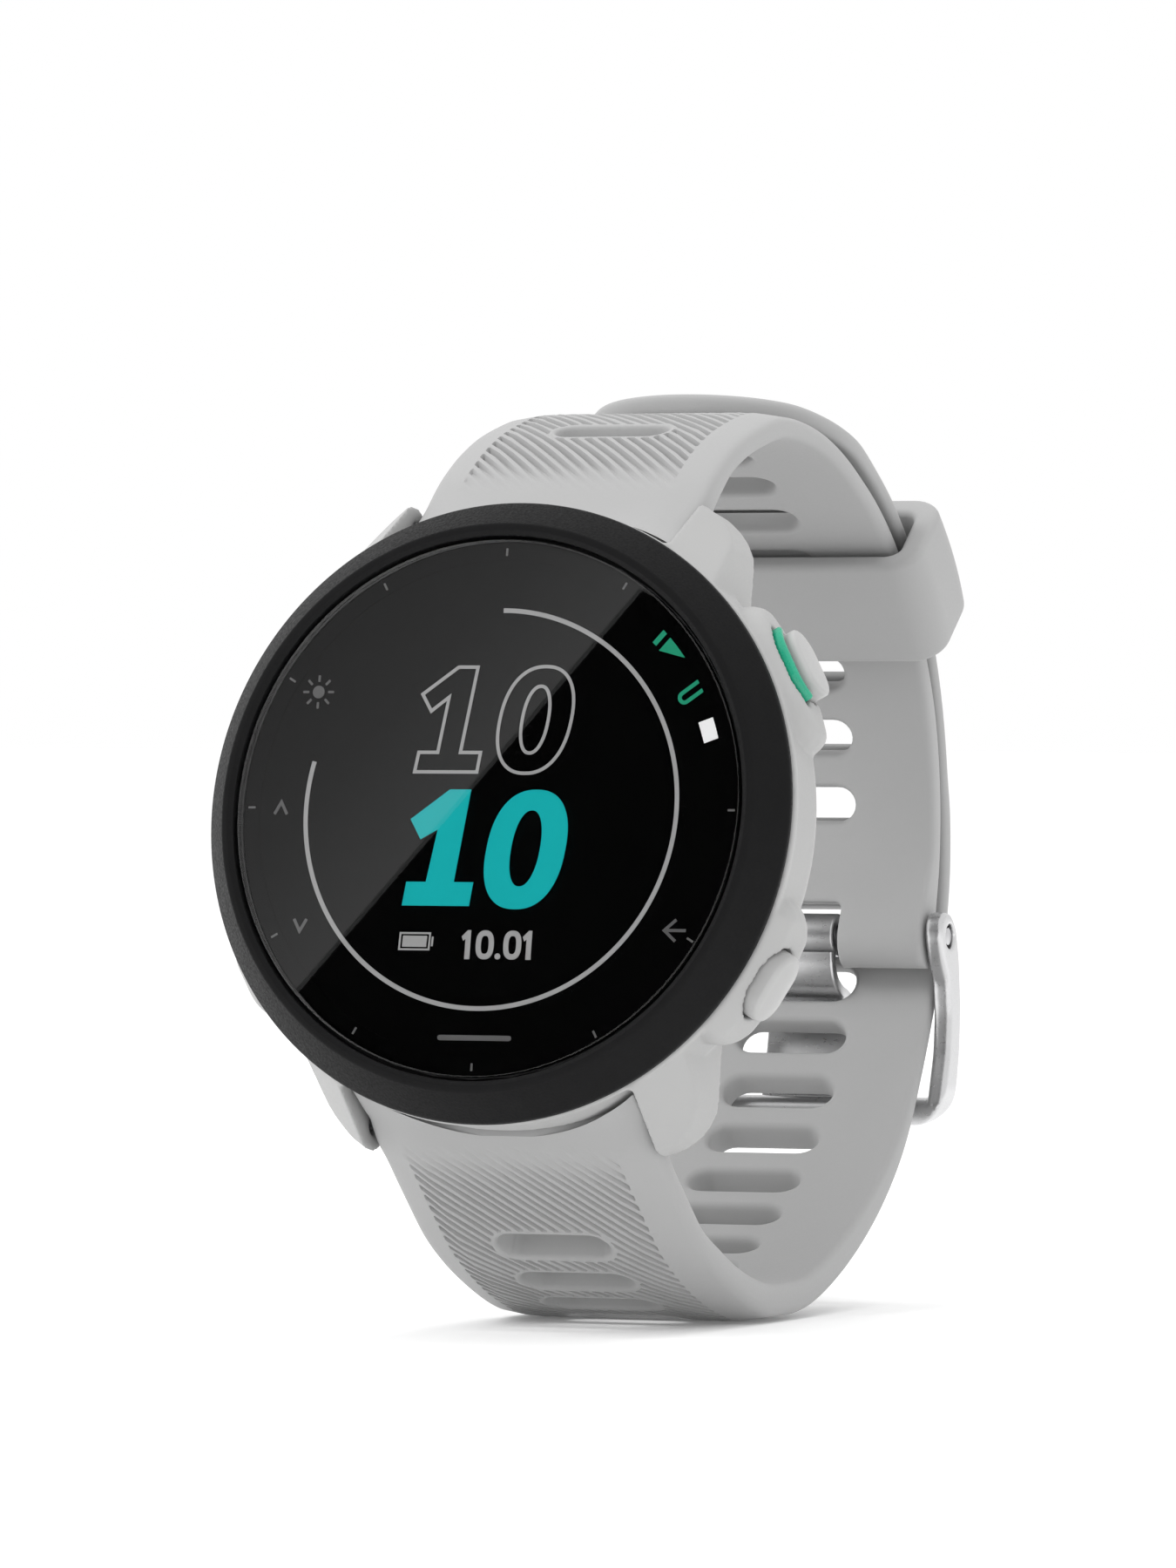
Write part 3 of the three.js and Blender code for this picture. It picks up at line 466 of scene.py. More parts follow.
# ------------------------------------------------------------------ straps
class Strap:
    """A strap as a flat pattern (s along it, x across it) bent onto an outer and an inner side-view line."""

    def __init__(self, outer, inner, half, slots, ribs, crown, tip=None, notch=None, rib_slope=1.0, end_open=True):
        self.O, self.I, self.W = outer, inner, half
        self.s = lengths(outer)
        self.S = self.s[-1]
        self.slots, self.ribs, self.crown, self.tip, self.notch, self.k = slots, ribs, crown, tip, notch, rib_slope

    # distances in the flat pattern
    def d_slot(self, s, x):
        d = np.full(len(s), 1e3)
        for c, a, r in self.slots:
            d = np.minimum(d, np.hypot(np.maximum(np.abs(x) - (a - r), 0), s - c) - r)
        return d

    def d_side(self, s, x):
        d = self.W - np.abs(x)
        if self.tip:
            c = self.tip
            far = s > c
            d = np.where(far, self.W - np.hypot(x, s - c), d)
        return d

    def d_notch(self, s, x):
        if not self.notch:
            return np.full(len(s), 1e3)
        s0, w, r = self.notch
        # outside distance to the box s > s0, |x| < w, with rounded corners r
        ds, dx = (s0 + r) - s, np.abs(x) - (w - r)
        return np.hypot(np.maximum(ds, 0), np.maximum(dx, 0)) - r

    def pattern(self):
        W, S = self.W, self.S
        pts, edges = [], []

        def line(P, closed=False):
            base = len(pts)
            pts.extend([(float(a), float(b)) for a, b in P])
            edges.extend([(base + i, base + i + 1) for i in range(len(P) - 1)])
            if closed:
                edges.append((base + len(P) - 1, base))

        s_end = self.tip if self.tip else S
        for d in (0, 0.07, 0.18, 0.34, 0.55, 1.1, 1.9):
            xs = W - d
            n = int(S / 0.55)
            row = np.linspace(0, s_end, n)
            if self.tip:
                a = np.linspace(0, math.pi, 56)
                loop = [(s, -xs) for s in row[:-1]] + [(self.tip + xs * math.sin(t), -xs * math.cos(t)) for t in a] + [(s, xs) for s in row[::-1][1:]]
                line(loop)
            else:
                line([(s, -xs) for s in row])
                line([(s, xs) for s in row])
        line([(0.0, t) for t in np.linspace(-W, W, 41)])
        if not self.tip:
            line([(S, t) for t in np.linspace(-W, W, 41)])
        for c, a, r in self.slots:
            for d in (0, 0.06, 0.15, 0.30, 0.42, 0.56):
                R, st = r + d, a - r
                loop = []
                n = 12
                for i in range(n + 1):
                    t = -math.pi / 2 + math.pi * i / n
                    loop.append((c + R * math.sin(t), st + R * math.cos(t)))
                for q in np.linspace(st, -st, 11)[1:-1]:
                    loop.append((c + R, q))
                for i in range(n + 1):
                    t = math.pi / 2 + math.pi * i / n
                    loop.append((c + R * math.sin(t), -st + R * math.cos(t)))
                for q in np.linspace(-st, st, 11)[1:-1]:
                    loop.append((c - R, q))
                line(loop, True)
        if self.notch:
            s0, w, r = self.notch
            for d in (0, 0.1, 0.25, 0.45):
                left = [(S, -(w + d))] + [(q, -(w + d)) for q in np.linspace(S, s0 + r, 12)[1:-1]]
                cor = [(s0 + r - (r + d) * math.sin(t), -(w - r) - (r + d) * math.cos(t)) for t in np.linspace(0, math.pi / 2, 6)]
                mid = [(s0 - d, q) for q in np.linspace(-(w - r), w - r, 9)[1:-1]]
                half = left + cor
                line(half + mid + [(a, -b) for a, b in half[::-1]])
        if self.ribs:
            g0, g1, pitch, x0, x1, depth, w = self.ribs
            xs = [x0 - 0.06, x0 + 0.06] + list(np.linspace(x0, x1, 15)[1:-1]) + [x1 - 0.06, x1 + 0.06]
            j0, j1 = int((g0 - 12) / pitch), int((g1 + 12) / pitch)
            for j in range(j0, j1):
                for off in (-w, -0.38 * w, 0.38 * w, w, pitch / 2):
                    P = [(j * pitch + off + self.k * x, x) for x in xs]
                    run = []
                    for q in P:
                        if g0 <= q[0] <= g1:
                            run.append(q)
                        elif run:
                            if len(run) > 1:
                                line(run)
                            run = []
                    if len(run) > 1:
                        line(run)
        # filler points on the plain areas
        fs, fx = np.meshgrid(np.arange(0.5, S, 0.62), np.linspace(-W + 1.2, W - 1.2, 15))
        fs, fx = fs.ravel() + 0.013, fx.ravel() + 0.007
        keep = (self.d_slot(fs, fx) > 0.6) & (self.d_side(fs, fx) > 0.8) & (self.d_notch(fs, fx) > 0.6)
        if self.ribs:
            g0, g1, pitch, x0, x1, depth, w = self.ribs
            keep &= ~((fs > g0 - 0.2) & (fs < g1 + 0.2) & (fx > x0 - 0.25) & (fx < x1 + 0.25))
        pts.extend([(float(a), float(b)) for a, b in zip(fs[keep], fx[keep])])
        return pts, edges

    def depth_out(self, s, x, t):
        cr = self.crown(s) * smoothstep(np.abs(x), 6.6, self.W + 0.6)
        edge = self.d_side(s, x)
        r = np.minimum(0.62, 0.42 * (t - cr))
        e = np.clip(edge, 0, None)
        drop = np.where(e < r, r - np.sqrt(np.maximum(r * r - (r - e) ** 2, 0)), 0)
        dh = np.minimum(self.d_slot(s, x), self.d_notch(s, x))
        rh = np.minimum(0.30, 0.3 * t)
        h = np.clip(dh, 0, None)
        drop = drop + np.where(h < rh, rh - np.sqrt(np.maximum(rh * rh - (rh - h) ** 2, 0)), 0)
        if self.ribs:
            g0, g1, pitch, x0, x1, depth, w = self.ribs
            u = (s - self.k * x) / pitch
            u = np.abs(u - np.round(u)) * pitch
            g = np.where(u < 0.38 * w, 1.0, np.where(u < w, (w - u) / (0.62 * w), 0.0))
            m = np.where((x > x0) & (x < x1), 1.0, 0.0) * smoothstep(dh, 0.40, 0.58)
            fade = smoothstep(s, g0, g0 + 5.0) * (1 - smoothstep(s, g1 - 4.0, g1))
            crest = 0.05 * (1 - np.clip((u - w) / (pitch / 2 - w), 0, 1)) * (u >= w)
            drop = drop + (depth * g + crest) * m * fade
        return drop + cr

    def depth_in(self, s, x, t):
        e = np.clip(self.d_side(s, x), 0, None)
        r = np.minimum(0.5, 0.3 * t)
        drop = np.where(e < r, r - np.sqrt(np.maximum(r * r - (r - e) ** 2, 0)), 0)
        h = np.clip(np.minimum(self.d_slot(s, x), self.d_notch(s, x)), 0, None)
        rh = np.minimum(0.52, 0.3 * t)
        return drop + np.where(h < rh, rh - np.sqrt(np.maximum(rh * rh - (rh - h) ** 2, 0)), 0)

    def mesh(self):
        pts, edges = self.pattern()
        v, e, f, *_ = delaunay_2d_cdt([Vector(p) for p in pts], edges, [], 0, 1e-4)
        P = np.array([(a.x, a.y) for a in v])
        F = np.array([tri for tri in f if len(tri) == 3])
        C = P[F].mean(axis=1)
        inside = (self.d_slot(C[:, 0], C[:, 1]) > 1e-4) & (self.d_side(C[:, 0], C[:, 1]) > -1e-3) & (self.d_notch(C[:, 0], C[:, 1]) > 1e-4)
        area = np.abs(np.cross(P[F[:, 1]] - P[F[:, 0]], P[F[:, 2]] - P[F[:, 0]]))
        F = F[inside & (area > 1e-8)]
        used = np.unique(F)
        remap = np.full(len(P), -1)
        remap[used] = np.arange(len(used))
        P, F = P[used], remap[F]
        s, x = P[:, 0], P[:, 1]
        o = np.stack([np.interp(s, self.s, self.O[:, k]) for k in (0, 1)], 1)
        i = np.stack([np.interp(s, self.s, self.I[:, k]) for k in (0, 1)], 1)
        t = np.linalg.norm(o - i, axis=1)
        n = (o - i) / np.maximum(t, 1e-6)[:, None]
        do, di = self.depth_out(s, x, t), self.depth_in(s, x, t)
        over = np.maximum(do + di - 0.92 * t, 0)
        do = do - over * 0.5
        di = di - over * 0.5
        A = o - n * do[:, None]
        B = i + n * di[:, None]
        top = np.c_[x, A]
        bot = np.c_[x, B]
        N = len(P)
        # orientation: the pattern's edges used once are its rim
        seen = {}
        for tri in F:
            for a, b in ((tri[0], tri[1]), (tri[1], tri[2]), (tri[2], tri[0])):
                seen[(a, b)] = seen.get((a, b), 0) + 1
        rim = [(a, b) for (a, b) in seen if (b, a) not in seen]
        faces = [tuple(tri) for tri in F] + [(tri[2] + N, tri[1] + N, tri[0] + N) for tri in F]
        faces += [(b, a, a + N, b + N) for a, b in rim]
        me = raw(np.vstack([top, bot]), faces)
        bm = bmesh.new()
        bm.from_mesh(me)
        bmesh.ops.recalc_face_normals(bm, faces=bm.faces)
        bm.to_mesh(me)
        bm.free()
        return me


def rails(outer_parts, inner_parts, step=0.25):
    """Joins matched pieces of outer and inner line: each pair is sampled with the same count."""
    O, I = [], []
    for (a, b) in zip(outer_parts, inner_parts):
        n = max(3, int(max(lengths(np.array(a))[-1], lengths(np.array(b))[-1]) / step))
        for src, dst in ((a, O), (b, I)):
            Q = np.array(src, float)
            d = lengths(Q)
            s = np.linspace(0, d[-1], n)
            Z = np.stack([np.interp(s, d, Q[:, k]) for k in (0, 1)], 1)
            dst.append(Z if not dst else Z[1:])
    return np.vstack(O), np.vstack(I)


def offset_line(Q, t):
    T = np.gradient(Q, axis=0)
    T /= np.linalg.norm(T, axis=1)[:, None]
    return Q + np.stack([T[:, 1], -T[:, 0]], 1) * np.asarray(t).reshape(-1, 1)


BAR_UP, BAR_LOW = cw(8.3, 19.7), cw(8.3, -19.7)

# --- short strap (twelve o'clock)
front = [cw(2.75, 18.15), cw(6.4, 20.25), (12.0, 20.25), (14.0, 21.9), (16.9, 23.6), (19.9, 24.8), (23, 25.6), (26.5, 26.25), (29.6, 26.2),
         (32.8, 25.75), (36, 24.95), (39.3, 23.65)]
body_outer = soften(smooth_line(front[4:] + [polar(R_OUT, 64 - 5 * i) for i in range(15)], 0.25), 10)
body_inner = offset_line(body_outer, 1.85)
head_outer = soften(smooth_line(front[:5], 0.25), 8)
head_inner = soften(even(np.array([cw(3.2, 17.7)] + arc(BAR_UP, 1.72, 200, 365, 14) + [(14.6, 19.6), tuple(body_inner[0])]), 0.25), 4)
sleeve_outer = even(np.array([tuple(body_outer[-1]), polar(R_OUT, -8.0)] + arc((53.5, -9.8), 1.9, 22, -86, 12)), 0.25)
sleeve_inner = even(np.array([tuple(body_inner[-1])] + arc((53.5, -9.8), 1.9, 160, 266, 12)), 0.25)
O, I = rails([head_outer, body_outer, sleeve_outer], [head_inner, body_inner, sleeve_inner])
O[3:-6] = soften(O, 14)[3:-6]
I[3:-6] = soften(I, 14)[3:-6]


def s_at_angle(O, deg, lo=0.0, hi=1e9):
    s = lengths(O)
    a = np.degrees(np.arctan2(O[:, 1] - BAND[1], O[:, 0] - BAND[0]))
    ok = (s > lo) & (s < hi)
    i = np.argmin(np.where(ok, np.abs(a - deg), 1e9))
    return s[i]


SLOT_DEG0, SLOT_STEP = 2.3, 10.74
short_slots = [(s_at_angle(O, SLOT_DEG0 + SLOT_STEP * k, 6.0), 4.0, 1.25) for k in range(11) if k != 9]
s_all = lengths(O)
notch_s = s_all[np.argmin(np.where(s_all > s_all[-1] - 14, np.abs(O[:, 1] - (PIN[1] + 2.15)), 1e9))]
short = Strap(O, I, 9.95, short_slots, (7.2, 36.0, 1.07, -7.7, 7.35, 0.38, 0.34),
              lambda s: 0.42 * (1 - smoothstep(s, 52, 62)), notch=(notch_s, 3.7, 0.5), rib_slope=-1.05)
me = short.mesh()
clear = cylinder(20.65, -3.45, 6.55, "Y", 0, 0, 256)
clear.transform(Matrix(((1, 0, 0, 0), (0, CT, ST, 0), (0, -ST, CT, 0), (0, 0, 0, 1))))
cuts = [clear, cylinder(1.05, -15, 15, "X", BAR_UP[0], BAR_UP[1], 48), cylinder(0.92, -15, 15, "X", PIN[0], PIN[1], 48)]
TURN = Matrix(((1, 0, 0, 0), (0, CT, ST, 0), (0, -ST, CT, 0), (0, 0, 0, 1)))


def knob_window(sz):
    y, z = 8.3 + 1.8, sz * 19.7
    return moved(bevelled(boxmesh(6.6, 10.2, y - 1.8, y + 1.8, z - 0.8, z + 0.8), 0.2, 2), TURN)


me = boolean(me, cuts + [knob_window(1)])
finish_piece("strap_short_skin", me, "short_strap", "silicone", ["strap_short"], sharp=38)

# --- long strap (six o'clock) and its tail
longOuter = [cw(2.75, -18.15), cw(6.4, -20.25), (3.5, -22.7), (5.1, -24.15), (7.8, -26.6), (11.2, -29.5), (14.6, -31.5), (17.8, -32.9), (20.7, -33.8),
             (22.8, -34.3), (24.9, -34.6), (29.3, -34.6), (31.8, -34.3), (34.2, -33.7), (37.6, -32.5), (40.9, -31.0), (43.9, -29.3), (46.3, -27.6), (48.4, -25.8),
             (50.0, -24.1), (51.3, -22.3), (52.8, -19.9), (54.1, -17.6), (55.3, -15.3), (56.5, -13.0), (57.4, -10.9), (58.1, -8.4), (58.6, -5.8), (58.75, -3.2), (58.65, -0.6)]


def short_out_at(d):
    if d <= 64:
        return R_OUT
    pts = front
    for i in range(len(pts) - 1):
        p, q = pts[i + 1], pts[i]
        a0 = math.degrees(math.atan2(p[1] - BAND[1], p[0] - BAND[0]))
        a1 = math.degrees(math.atan2(q[1] - BAND[1], q[0] - BAND[0]))
        if a0 <= d <= a1:
            f = (d - a0) / (a1 - a0)
            return math.hypot(p[0] - BAND[0], p[1] - BAND[1]) * (1 - f) + math.hypot(q[0] - BAND[0], q[1] - BAND[1]) * f
    return R_OUT + 0.05 * (d - 64)


def tail_out(d):
    return R_TAIL_OUT + 0.1 if d < 10 else (R_TAIL_OUT if d < 60 else R_TAIL_OUT + min(1.0, (d - 60) * 0.04))


def tail_in(d):
    return max(R_TAIL_IN + 0.05 if d < 10 else R_TAIL_IN, short_out_at(d) + 0.32)


tail_deg = list(range(5, 86, 5))
run = soften(smooth_line(longOuter[4:], 0.25), 8)
run[:, 1] = np.maximum(run[:, 1], -34.6)
run_s = lengths(run)
longThick = [2.3 if i < 6 else (2.6 if i < 17 else max(1.7, 2.6 - 0.16 * (i - 16))) for i in range(len(longOuter))]
node_s = [run_s[np.argmin(np.linalg.norm(run - np.array(p), axis=1))] for p in longOuter[4:]]
thick = np.interp(run_s, node_s, longThick[4:])
run_in = offset_line(run, -thick)
tail_o = [tuple(run[-1])] + [polar(max(tail_out(d), tail_in(d) + 0.7), d) for d in tail_deg]
tail_i = [tuple(run_in[-1])] + [polar(tail_in(d), d) for d in tail_deg]
tail_o = soften(smooth_line(tail_o, 0.25), 8)
tail_i = soften(smooth_line(tail_i, 0.25), 8)
head_o = soften(smooth_line(longOuter[:5], 0.25), 8)
head_i = soften(even(np.array([cw(3.2, -17.7)] + arc(BAR_LOW, 1.72, 150, -20, 14) + [(6.9, -22.8), tuple(run_in[0])]), 0.25), 4)
O2, I2 = rails([head_o, run, tail_o], [head_i, run_in, tail_i])
O2[3:-3] = soften(O2, 12)[3:-3]
I2[3:-3] = soften(I2, 12)[3:-3]
O2[:, 1] = np.maximum(O2[:, 1], -34.6)

# slots of the lower part, walked back from the one that the buckle tongue goes through
path = np.array(longOuter[::-1])


def walk(top, dist):
    i = next(k for k, p in enumerate(path) if p[1] <= top)
    a, b = path[i - 1], path[i]
    cur = a + (b - a) * ((a[1] - top) / (a[1] - b[1]))
    acc = 0.0
    while i < len(path):
        d = np.linalg.norm(path[i] - cur)
        if acc + d >= dist:
            return cur + (path[i] - cur) * ((dist - acc) / d)
        acc += d
        cur = path[i]
        i += 1
    return None


s2 = lengths(O2)
long_slots = []
for k in range(15):
    p = walk(-4.6, 4.65 * k)
    if p is not None:
        i = np.argmin(np.linalg.norm(O2 - p, axis=1))
        long_slots.append((s2[i], 4.0, 1.45 if k == 2 else 1.25))
s_tail = lengths(O2)[np.argmin(np.linalg.norm(O2 - run[-1], axis=1))]
for k in range(7):
    long_slots.append((s_at_angle(O2, SLOT_DEG0 + SLOT_STEP * k, s_tail - 3), 4.0, 1.25))


def crown_long(s):
    return 0.42 + 0.55 * smoothstep(s, 3.5, 8.0) * (1 - smoothstep(s, 22, 32))


lower = Strap(O2, I2, 9.95, long_slots, (5.0, 40.0, 1.07, -7.7, 7.35, 0.36, 0.32), crown_long, tip=s2[-1] - 9.95, rib_slope=1.25)
me = lower.mesh()
clear = cylinder(20.65, -3.45, 6.55, "Y", 0, 0, 256)
clear.transform(TURN)
me = boolean(me, [clear, cylinder(1.05, -15, 15, "X", BAR_LOW[0], BAR_LOW[1], 48), knob_window(-1)])
finish_piece("strap_long_skin", me, "long_strap", "silicone", ["strap_long"], sharp=38)


# ------------------------------------------------------------------ keeper
def round_rect(w, h0, h1, r, n=8, side=10):
    pts = []
    corners = [(w - r, h1 - r, 0), (-w + r, h1 - r, 90), (-w + r, h0 + r, 180), (w - r, h0 + r, 270)]
    for q, (cx, cy, a0) in enumerate(corners):
        for i in range(n + 1):
            a = (a0 + 90 * i / n) * RAD
            pts.append((cx + r * math.cos(a), cy + r * math.sin(a)))
        nx = corners[(q + 1) % 4]
        a = (nx[2]) * RAD
        e = (nx[0] + r * math.cos(a), nx[1] + r * math.sin(a))
        s = pts[-1]
        for i in range(1, side):
            pts.append((s[0] + (e[0] - s[0]) * i / side, s[1] + (e[1] - s[1]) * i / side))
    return pts


def keeper_mesh():
    outer, inner = round_rect(12.4, 22.3, 30.4, 2.4), round_rect(10.55, 23.85, 28.5, 0.9)
    kd = 38.5 * RAD
    n2, t2 = np.array([math.cos(kd), math.sin(kd)]), np.array([-math.sin(kd), math.cos(kd)])
    # section round the wall: (share from inner to outer, distance along the band)
    sec = []
    H, r = 4.3, 0.62
    m = 6
    for i in range(m + 1):      # outer far edge
        a = math.pi / 2 * i / m
        sec.append(("o", r * (1 - math.cos(a)), -H + r - r * math.sin(a) if False else -(H - r) - r * math.sin(a)))
    sec = []
    for i in range(9):          # across the outer face, slightly crowned
        y = -(H - r) + 2 * (H - r) * i / 8
        sec.append(("o", 0.16 * (y / (H - r)) ** 2, y))
    for i in range(1, m):
        a = math.pi / 2 * i / m
        sec.append(("o", 0.16 + r * (1 - math.cos(a)), (H - r) + r * math.sin(a)))
    for i in range(m, 0, -1):
        a = math.pi / 2 * i / m
        sec.append(("i", 0.45 * (1 - math.cos(a)), (H - 0.45) + 0.45 * math.sin(a)))
    for i in range(5):
        y = (H - 0.45) - 2 * (H - 0.45) * i / 4
        sec.append(("i", 0.0, y))
    for i in range(1, m + 1):
        a = math.pi / 2 * i / m
        sec.append(("i", 0.45 * (1 - math.cos(a)), -(H - 0.45) - 0.45 * math.sin(a)))
    for i in range(m - 1, 0, -1):
        a = math.pi / 2 * i / m
        sec.append(("o", 0.16 + r * (1 - math.cos(a)), -(H - r) - r * math.sin(a)))
    verts, faces = [], []
    N, K = len(outer), len(sec)
    for (ox, oh), (ix, ih) in zip(outer, inner):
        d = np.array([ox - ix, oh - ih])
        L = np.linalg.norm(d)
        u = d / L
        for side, dep, y in sec:
            base = np.array([ox, oh]) - u * dep if side == "o" else np.array([ix, ih]) + u * dep
            p = BAND + n2 * base[1] + t2 * y
            verts.append((base[0], p[0], p[1]))
    for a in range(N):
        b = (a + 1) % N
        for k in range(K):
            l = (k + 1) % K
            faces.append((a * K + k, b * K + k, b * K + l, a * K + l))
    return clean(raw(verts, faces))


finish_piece("keeper_loop", keeper_mesh(), "keeper", "silicone", ["keeper"], sharp=50)


# ------------------------------------------------------------------ case shell
def below(me, n, d):
    """The part of a closed mesh on the near side of the plane n . p = d, closed again along the cut."""
    v = Vector(n)
    bm = bmesh.new()
    bm.from_mesh(me)
    bmesh.ops.bisect_plane(bm, geom=bm.verts[:] + bm.edges[:] + bm.faces[:], dist=1e-5, plane_co=v * (d / v.length_squared),
                           plane_no=v.normalized(), clear_outer=True)
    bmesh.ops.holes_fill(bm, edges=[e for e in bm.edges if e.is_boundary])
    bmesh.ops.triangulate(bm, faces=bm.faces)
    bmesh.ops.recalc_face_normals(bm, faces=bm.faces)
    bm.to_mesh(me)
    bm.free()
    return me


def case_mesh():
    prof = rounded([(18.4, 1.95), (20.56, 1.95), (20.56, 2.3), (20.28, 3.2), (20.28, 6.4), (19.75, 7.8), (18.9, 9.2), (18.3, 9.75), (16.95, 9.75),
                    (16.95, 8.75), (13.2, 8.75), (13.2, 7.9), (18.4, 7.9)], [0, 0.15, 0.15, 0.5, 0.9, 0.9, 0.7, 0.4, 0, 0, 0, 0, 0], 5)
    shell = lathe(prof, 256)
    flat = boolean(cylinder(18.7, 5.8, 8.2, "Y", 0, 0, 128), [boxmesh(-25, 25, 5, 9, -16.1, 16.1)])
    side = rounded([(2.15, 12.0), (2.15, 18.3), (4.3, 20.0), (7.3, 21.5), (8.5, 21.6), (9.7, 21.0), (10.35, 19.9), (10.4, 18.2), (9.7, 16.2), (8.9, 12.0)],
                   [0, 0.6, 2.0, 0.9, 0.7, 0.8, 0.8, 1.0, 1.5, 0], 5)
    fr = rounded([(10.3, 12.0), (10.3, 22.0), (10.4, 21.4), (11.5, 20.75), (12.1, 20.15), (12.75, 19.3), (13.15, 18.4), (13.4, 17.0), (13.6, 14.7), (13.6, 12)],
                 [0, 0, 0.1, 0.8, 0.8, 0.8, 0.8, 1.0, 1.0, 0], 5)
    parts = [flat]
    for sx in (1, -1):
        for sz in (1, -1):
            a = prism([(y, z * sz) for y, z in side], "X", 10.3 if sx > 0 else -17, 17 if sx > 0 else -10.3)
            b = prism([(x * sx, z * sz) for x, z in fr], "Y", 1.9, 11)
            lug = boolean(a, [b], "INTERSECT")
            for n3, d in (((0.95, -0.72, 1.0), 26.23), ((0.925, -0.176, 0.339), 17.2)):
                lug = below(lug, (n3[0] * sx, n3[1], n3[2] * sz), d)
            parts.append(boolean(lug, [cylinder(18.8, -2, 20, "Y", 0, 0, 128)]))
    back = CASE.inverted()
    skin = boolean(lathe(rounded([(0.0, 2.0), (20.55, 2.0), (21.4, 3.3), (21.4, 6.9), (20.3, 8.5), (18.9, 9.3), (0.0, 9.3)], [0, 0.1, 0.8, 1.2, 0.8, 0.3, 0], 5), 256, closed=False),
                   [cylinder(18.9, 0, 12, "Y", 0, 0, 128)])
    for name, deg, depth in BUTTONS[:2]:
        tier = []
        for k in range(9):      # sides that lean in towards the top
            t = k / 8 * math.pi / 2
            tier.append((2.4 - 2.0 * (1 - math.cos(t)), 21.2 + 2.0 * math.sin(t)))
        rings = [(2.4, 15.0)] + tier
        verts, faces, K = [], [], 0
        for o, x in rings:
            pts = pill_outline(CAP_L / 2 + 0.6 + o, CAP_W / 2 + o)
            K = len(pts)
            verts += [(x - 1.9, a, b) for a, b in pts]
        for i in range(len(rings) - 1):
            faces += [(i * K + k, i * K + (k + 1) % K, (i + 1) * K + (k + 1) % K, (i + 1) * K + k) for k in range(K)]
        faces += [tuple(range(K)), tuple(range(len(rings) * K - 1, (len(rings) - 1) * K - 1, -1))]
        boss = moved(clean(raw(verts, faces), 1e-4, triangulate=True), back @ btn(deg, depth))
        parts.append(boolean(boss, [skin.copy()], "INTERSECT"))
    shell = boolean(shell, parts, "UNION")
    cuts = []
    for sz in (1, -1):
        z0, z1 = (17.45, 27) if sz > 0 else (-27, -17.45)
        cuts.append(boxmesh(-10.3, 10.3, 6.25, 14, z0, z1))
        for sx in (1, -1):
            x0, x1 = (9.3, 11.65) if sx > 0 else (-11.65, -9.3)
            cuts.append(cylinder(0.72, x0, x1, "X", 8.3, sz * 19.7, 32))
    for name, deg, depth in BUTTONS:
        m = back @ btn(deg, depth)
        cuts.append(moved(pill_prism(CAP_L / 2 + 0.2, CAP_W / 2 + 0.2, 19.35, 24), m))
        cuts.append(moved(cylinder(0.95, 17, 20, "X", 0, 0, 32), m))
        cuts.append(moved(cylinder(1.4, 17, 18.85, "X", 0, 0, 32), m))
    cuts.append(moved(band_prism(1.78, 2.6, 62, 20.7, 24), back @ btn(BUTTONS[0][1], BUTTONS[0][2])))
    for d in (45, 135, 225, 315):
        cuts.append(cylinder(0.8, 7, 9, "Y", 15.45 * math.cos(d * RAD), 15.45 * math.sin(d * RAD), 24))
    cuts.append(lathe([(13.65, 8.25), (14.45, 8.25), (14.45, 9), (13.65, 9)], 128))
    return boolean(shell, cuts)


def pill_outline(half, r, n=12):
    a = half - r
    return [(r * math.cos(math.pi * i / n), a + r * math.sin(math.pi * i / n)) for i in range(n + 1)] + \
           [(-r * math.cos(math.pi * i / n), -a - r * math.sin(math.pi * i / n)) for i in range(n + 1)]


def pill_prism(half, r, x0, x1):
    return prism(pill_outline(half, r), "X", x0, x1)


def band_points(o, deg, n=10):
    """Line at distance o round the front half of a button's outline."""
    a = (CAP_L - CAP_W) / 2
    pts = []
    for i in range(n + 1):
        f = (deg - i * deg / n) * RAD
        pts.append((-o * math.cos(f), a + o * math.sin(f)))
    for i in range(n + 1):
        f = (-i * deg / n) * RAD
        pts.append((-o * math.cos(f), -a + o * math.sin(f)))
    return pts


def band_prism(o0, o1, deg, x0, x1):
    return prism(band_points(o1, deg) + band_points(o0, deg)[::-1], "X", x0, x1)


shell = case_mesh()
shell = remesh(shell, 0.16, rounds=5, factor=0.5)
finish_piece("case_shell_skin", shell, "case", "case_shell", ["case_body"], sharp=60, matrix=CASE)

# ------------------------------------------------------------------ bezel, glass, dial
bez = rounded([(17.95, -0.75), (18.3, -0.95), (18.7, -0.88), (20.5, 1.3), (20.5, 1.7), (17.25, 1.7), (17.25, 0.45), (17.95, 0.45)],
              [0.12, 0.15, 0.35, 0.5, 0.1, 0.1, 0.05, 0.05], 6)
finish_piece("bezel_ring", lathe(bez, 320), "case", "bezel", ["bezel"], sharp=40, matrix=CASE)
lens_prof = [(0, -0.70), (6, -0.70), (12, -0.70), (17.4, -0.70)] + [(17.62 + 0.08 * math.sin(t), -0.62 - 0.08 * math.cos(t)) for t in np.linspace(0, math.pi / 2, 5)] + [(17.7, -0.10), (0, -0.10)]
finish_piece("cover_glass_disc", lathe(lens_prof, 256, closed=False), "case", "glass", ["lens"], sharp=30, matrix=CASE)
disp = [(0, 0.10), (8, 0.10), (16.8, 0.10), (16.9, 0.16), (16.9, 0.5), (16.2, 0.5), (16.2, 1.5), (0, 1.5)]
finish_piece("display_module", lathe(disp, 192, closed=False), "case", "display", ["display_panel"], sharp=30, matrix=CASE)
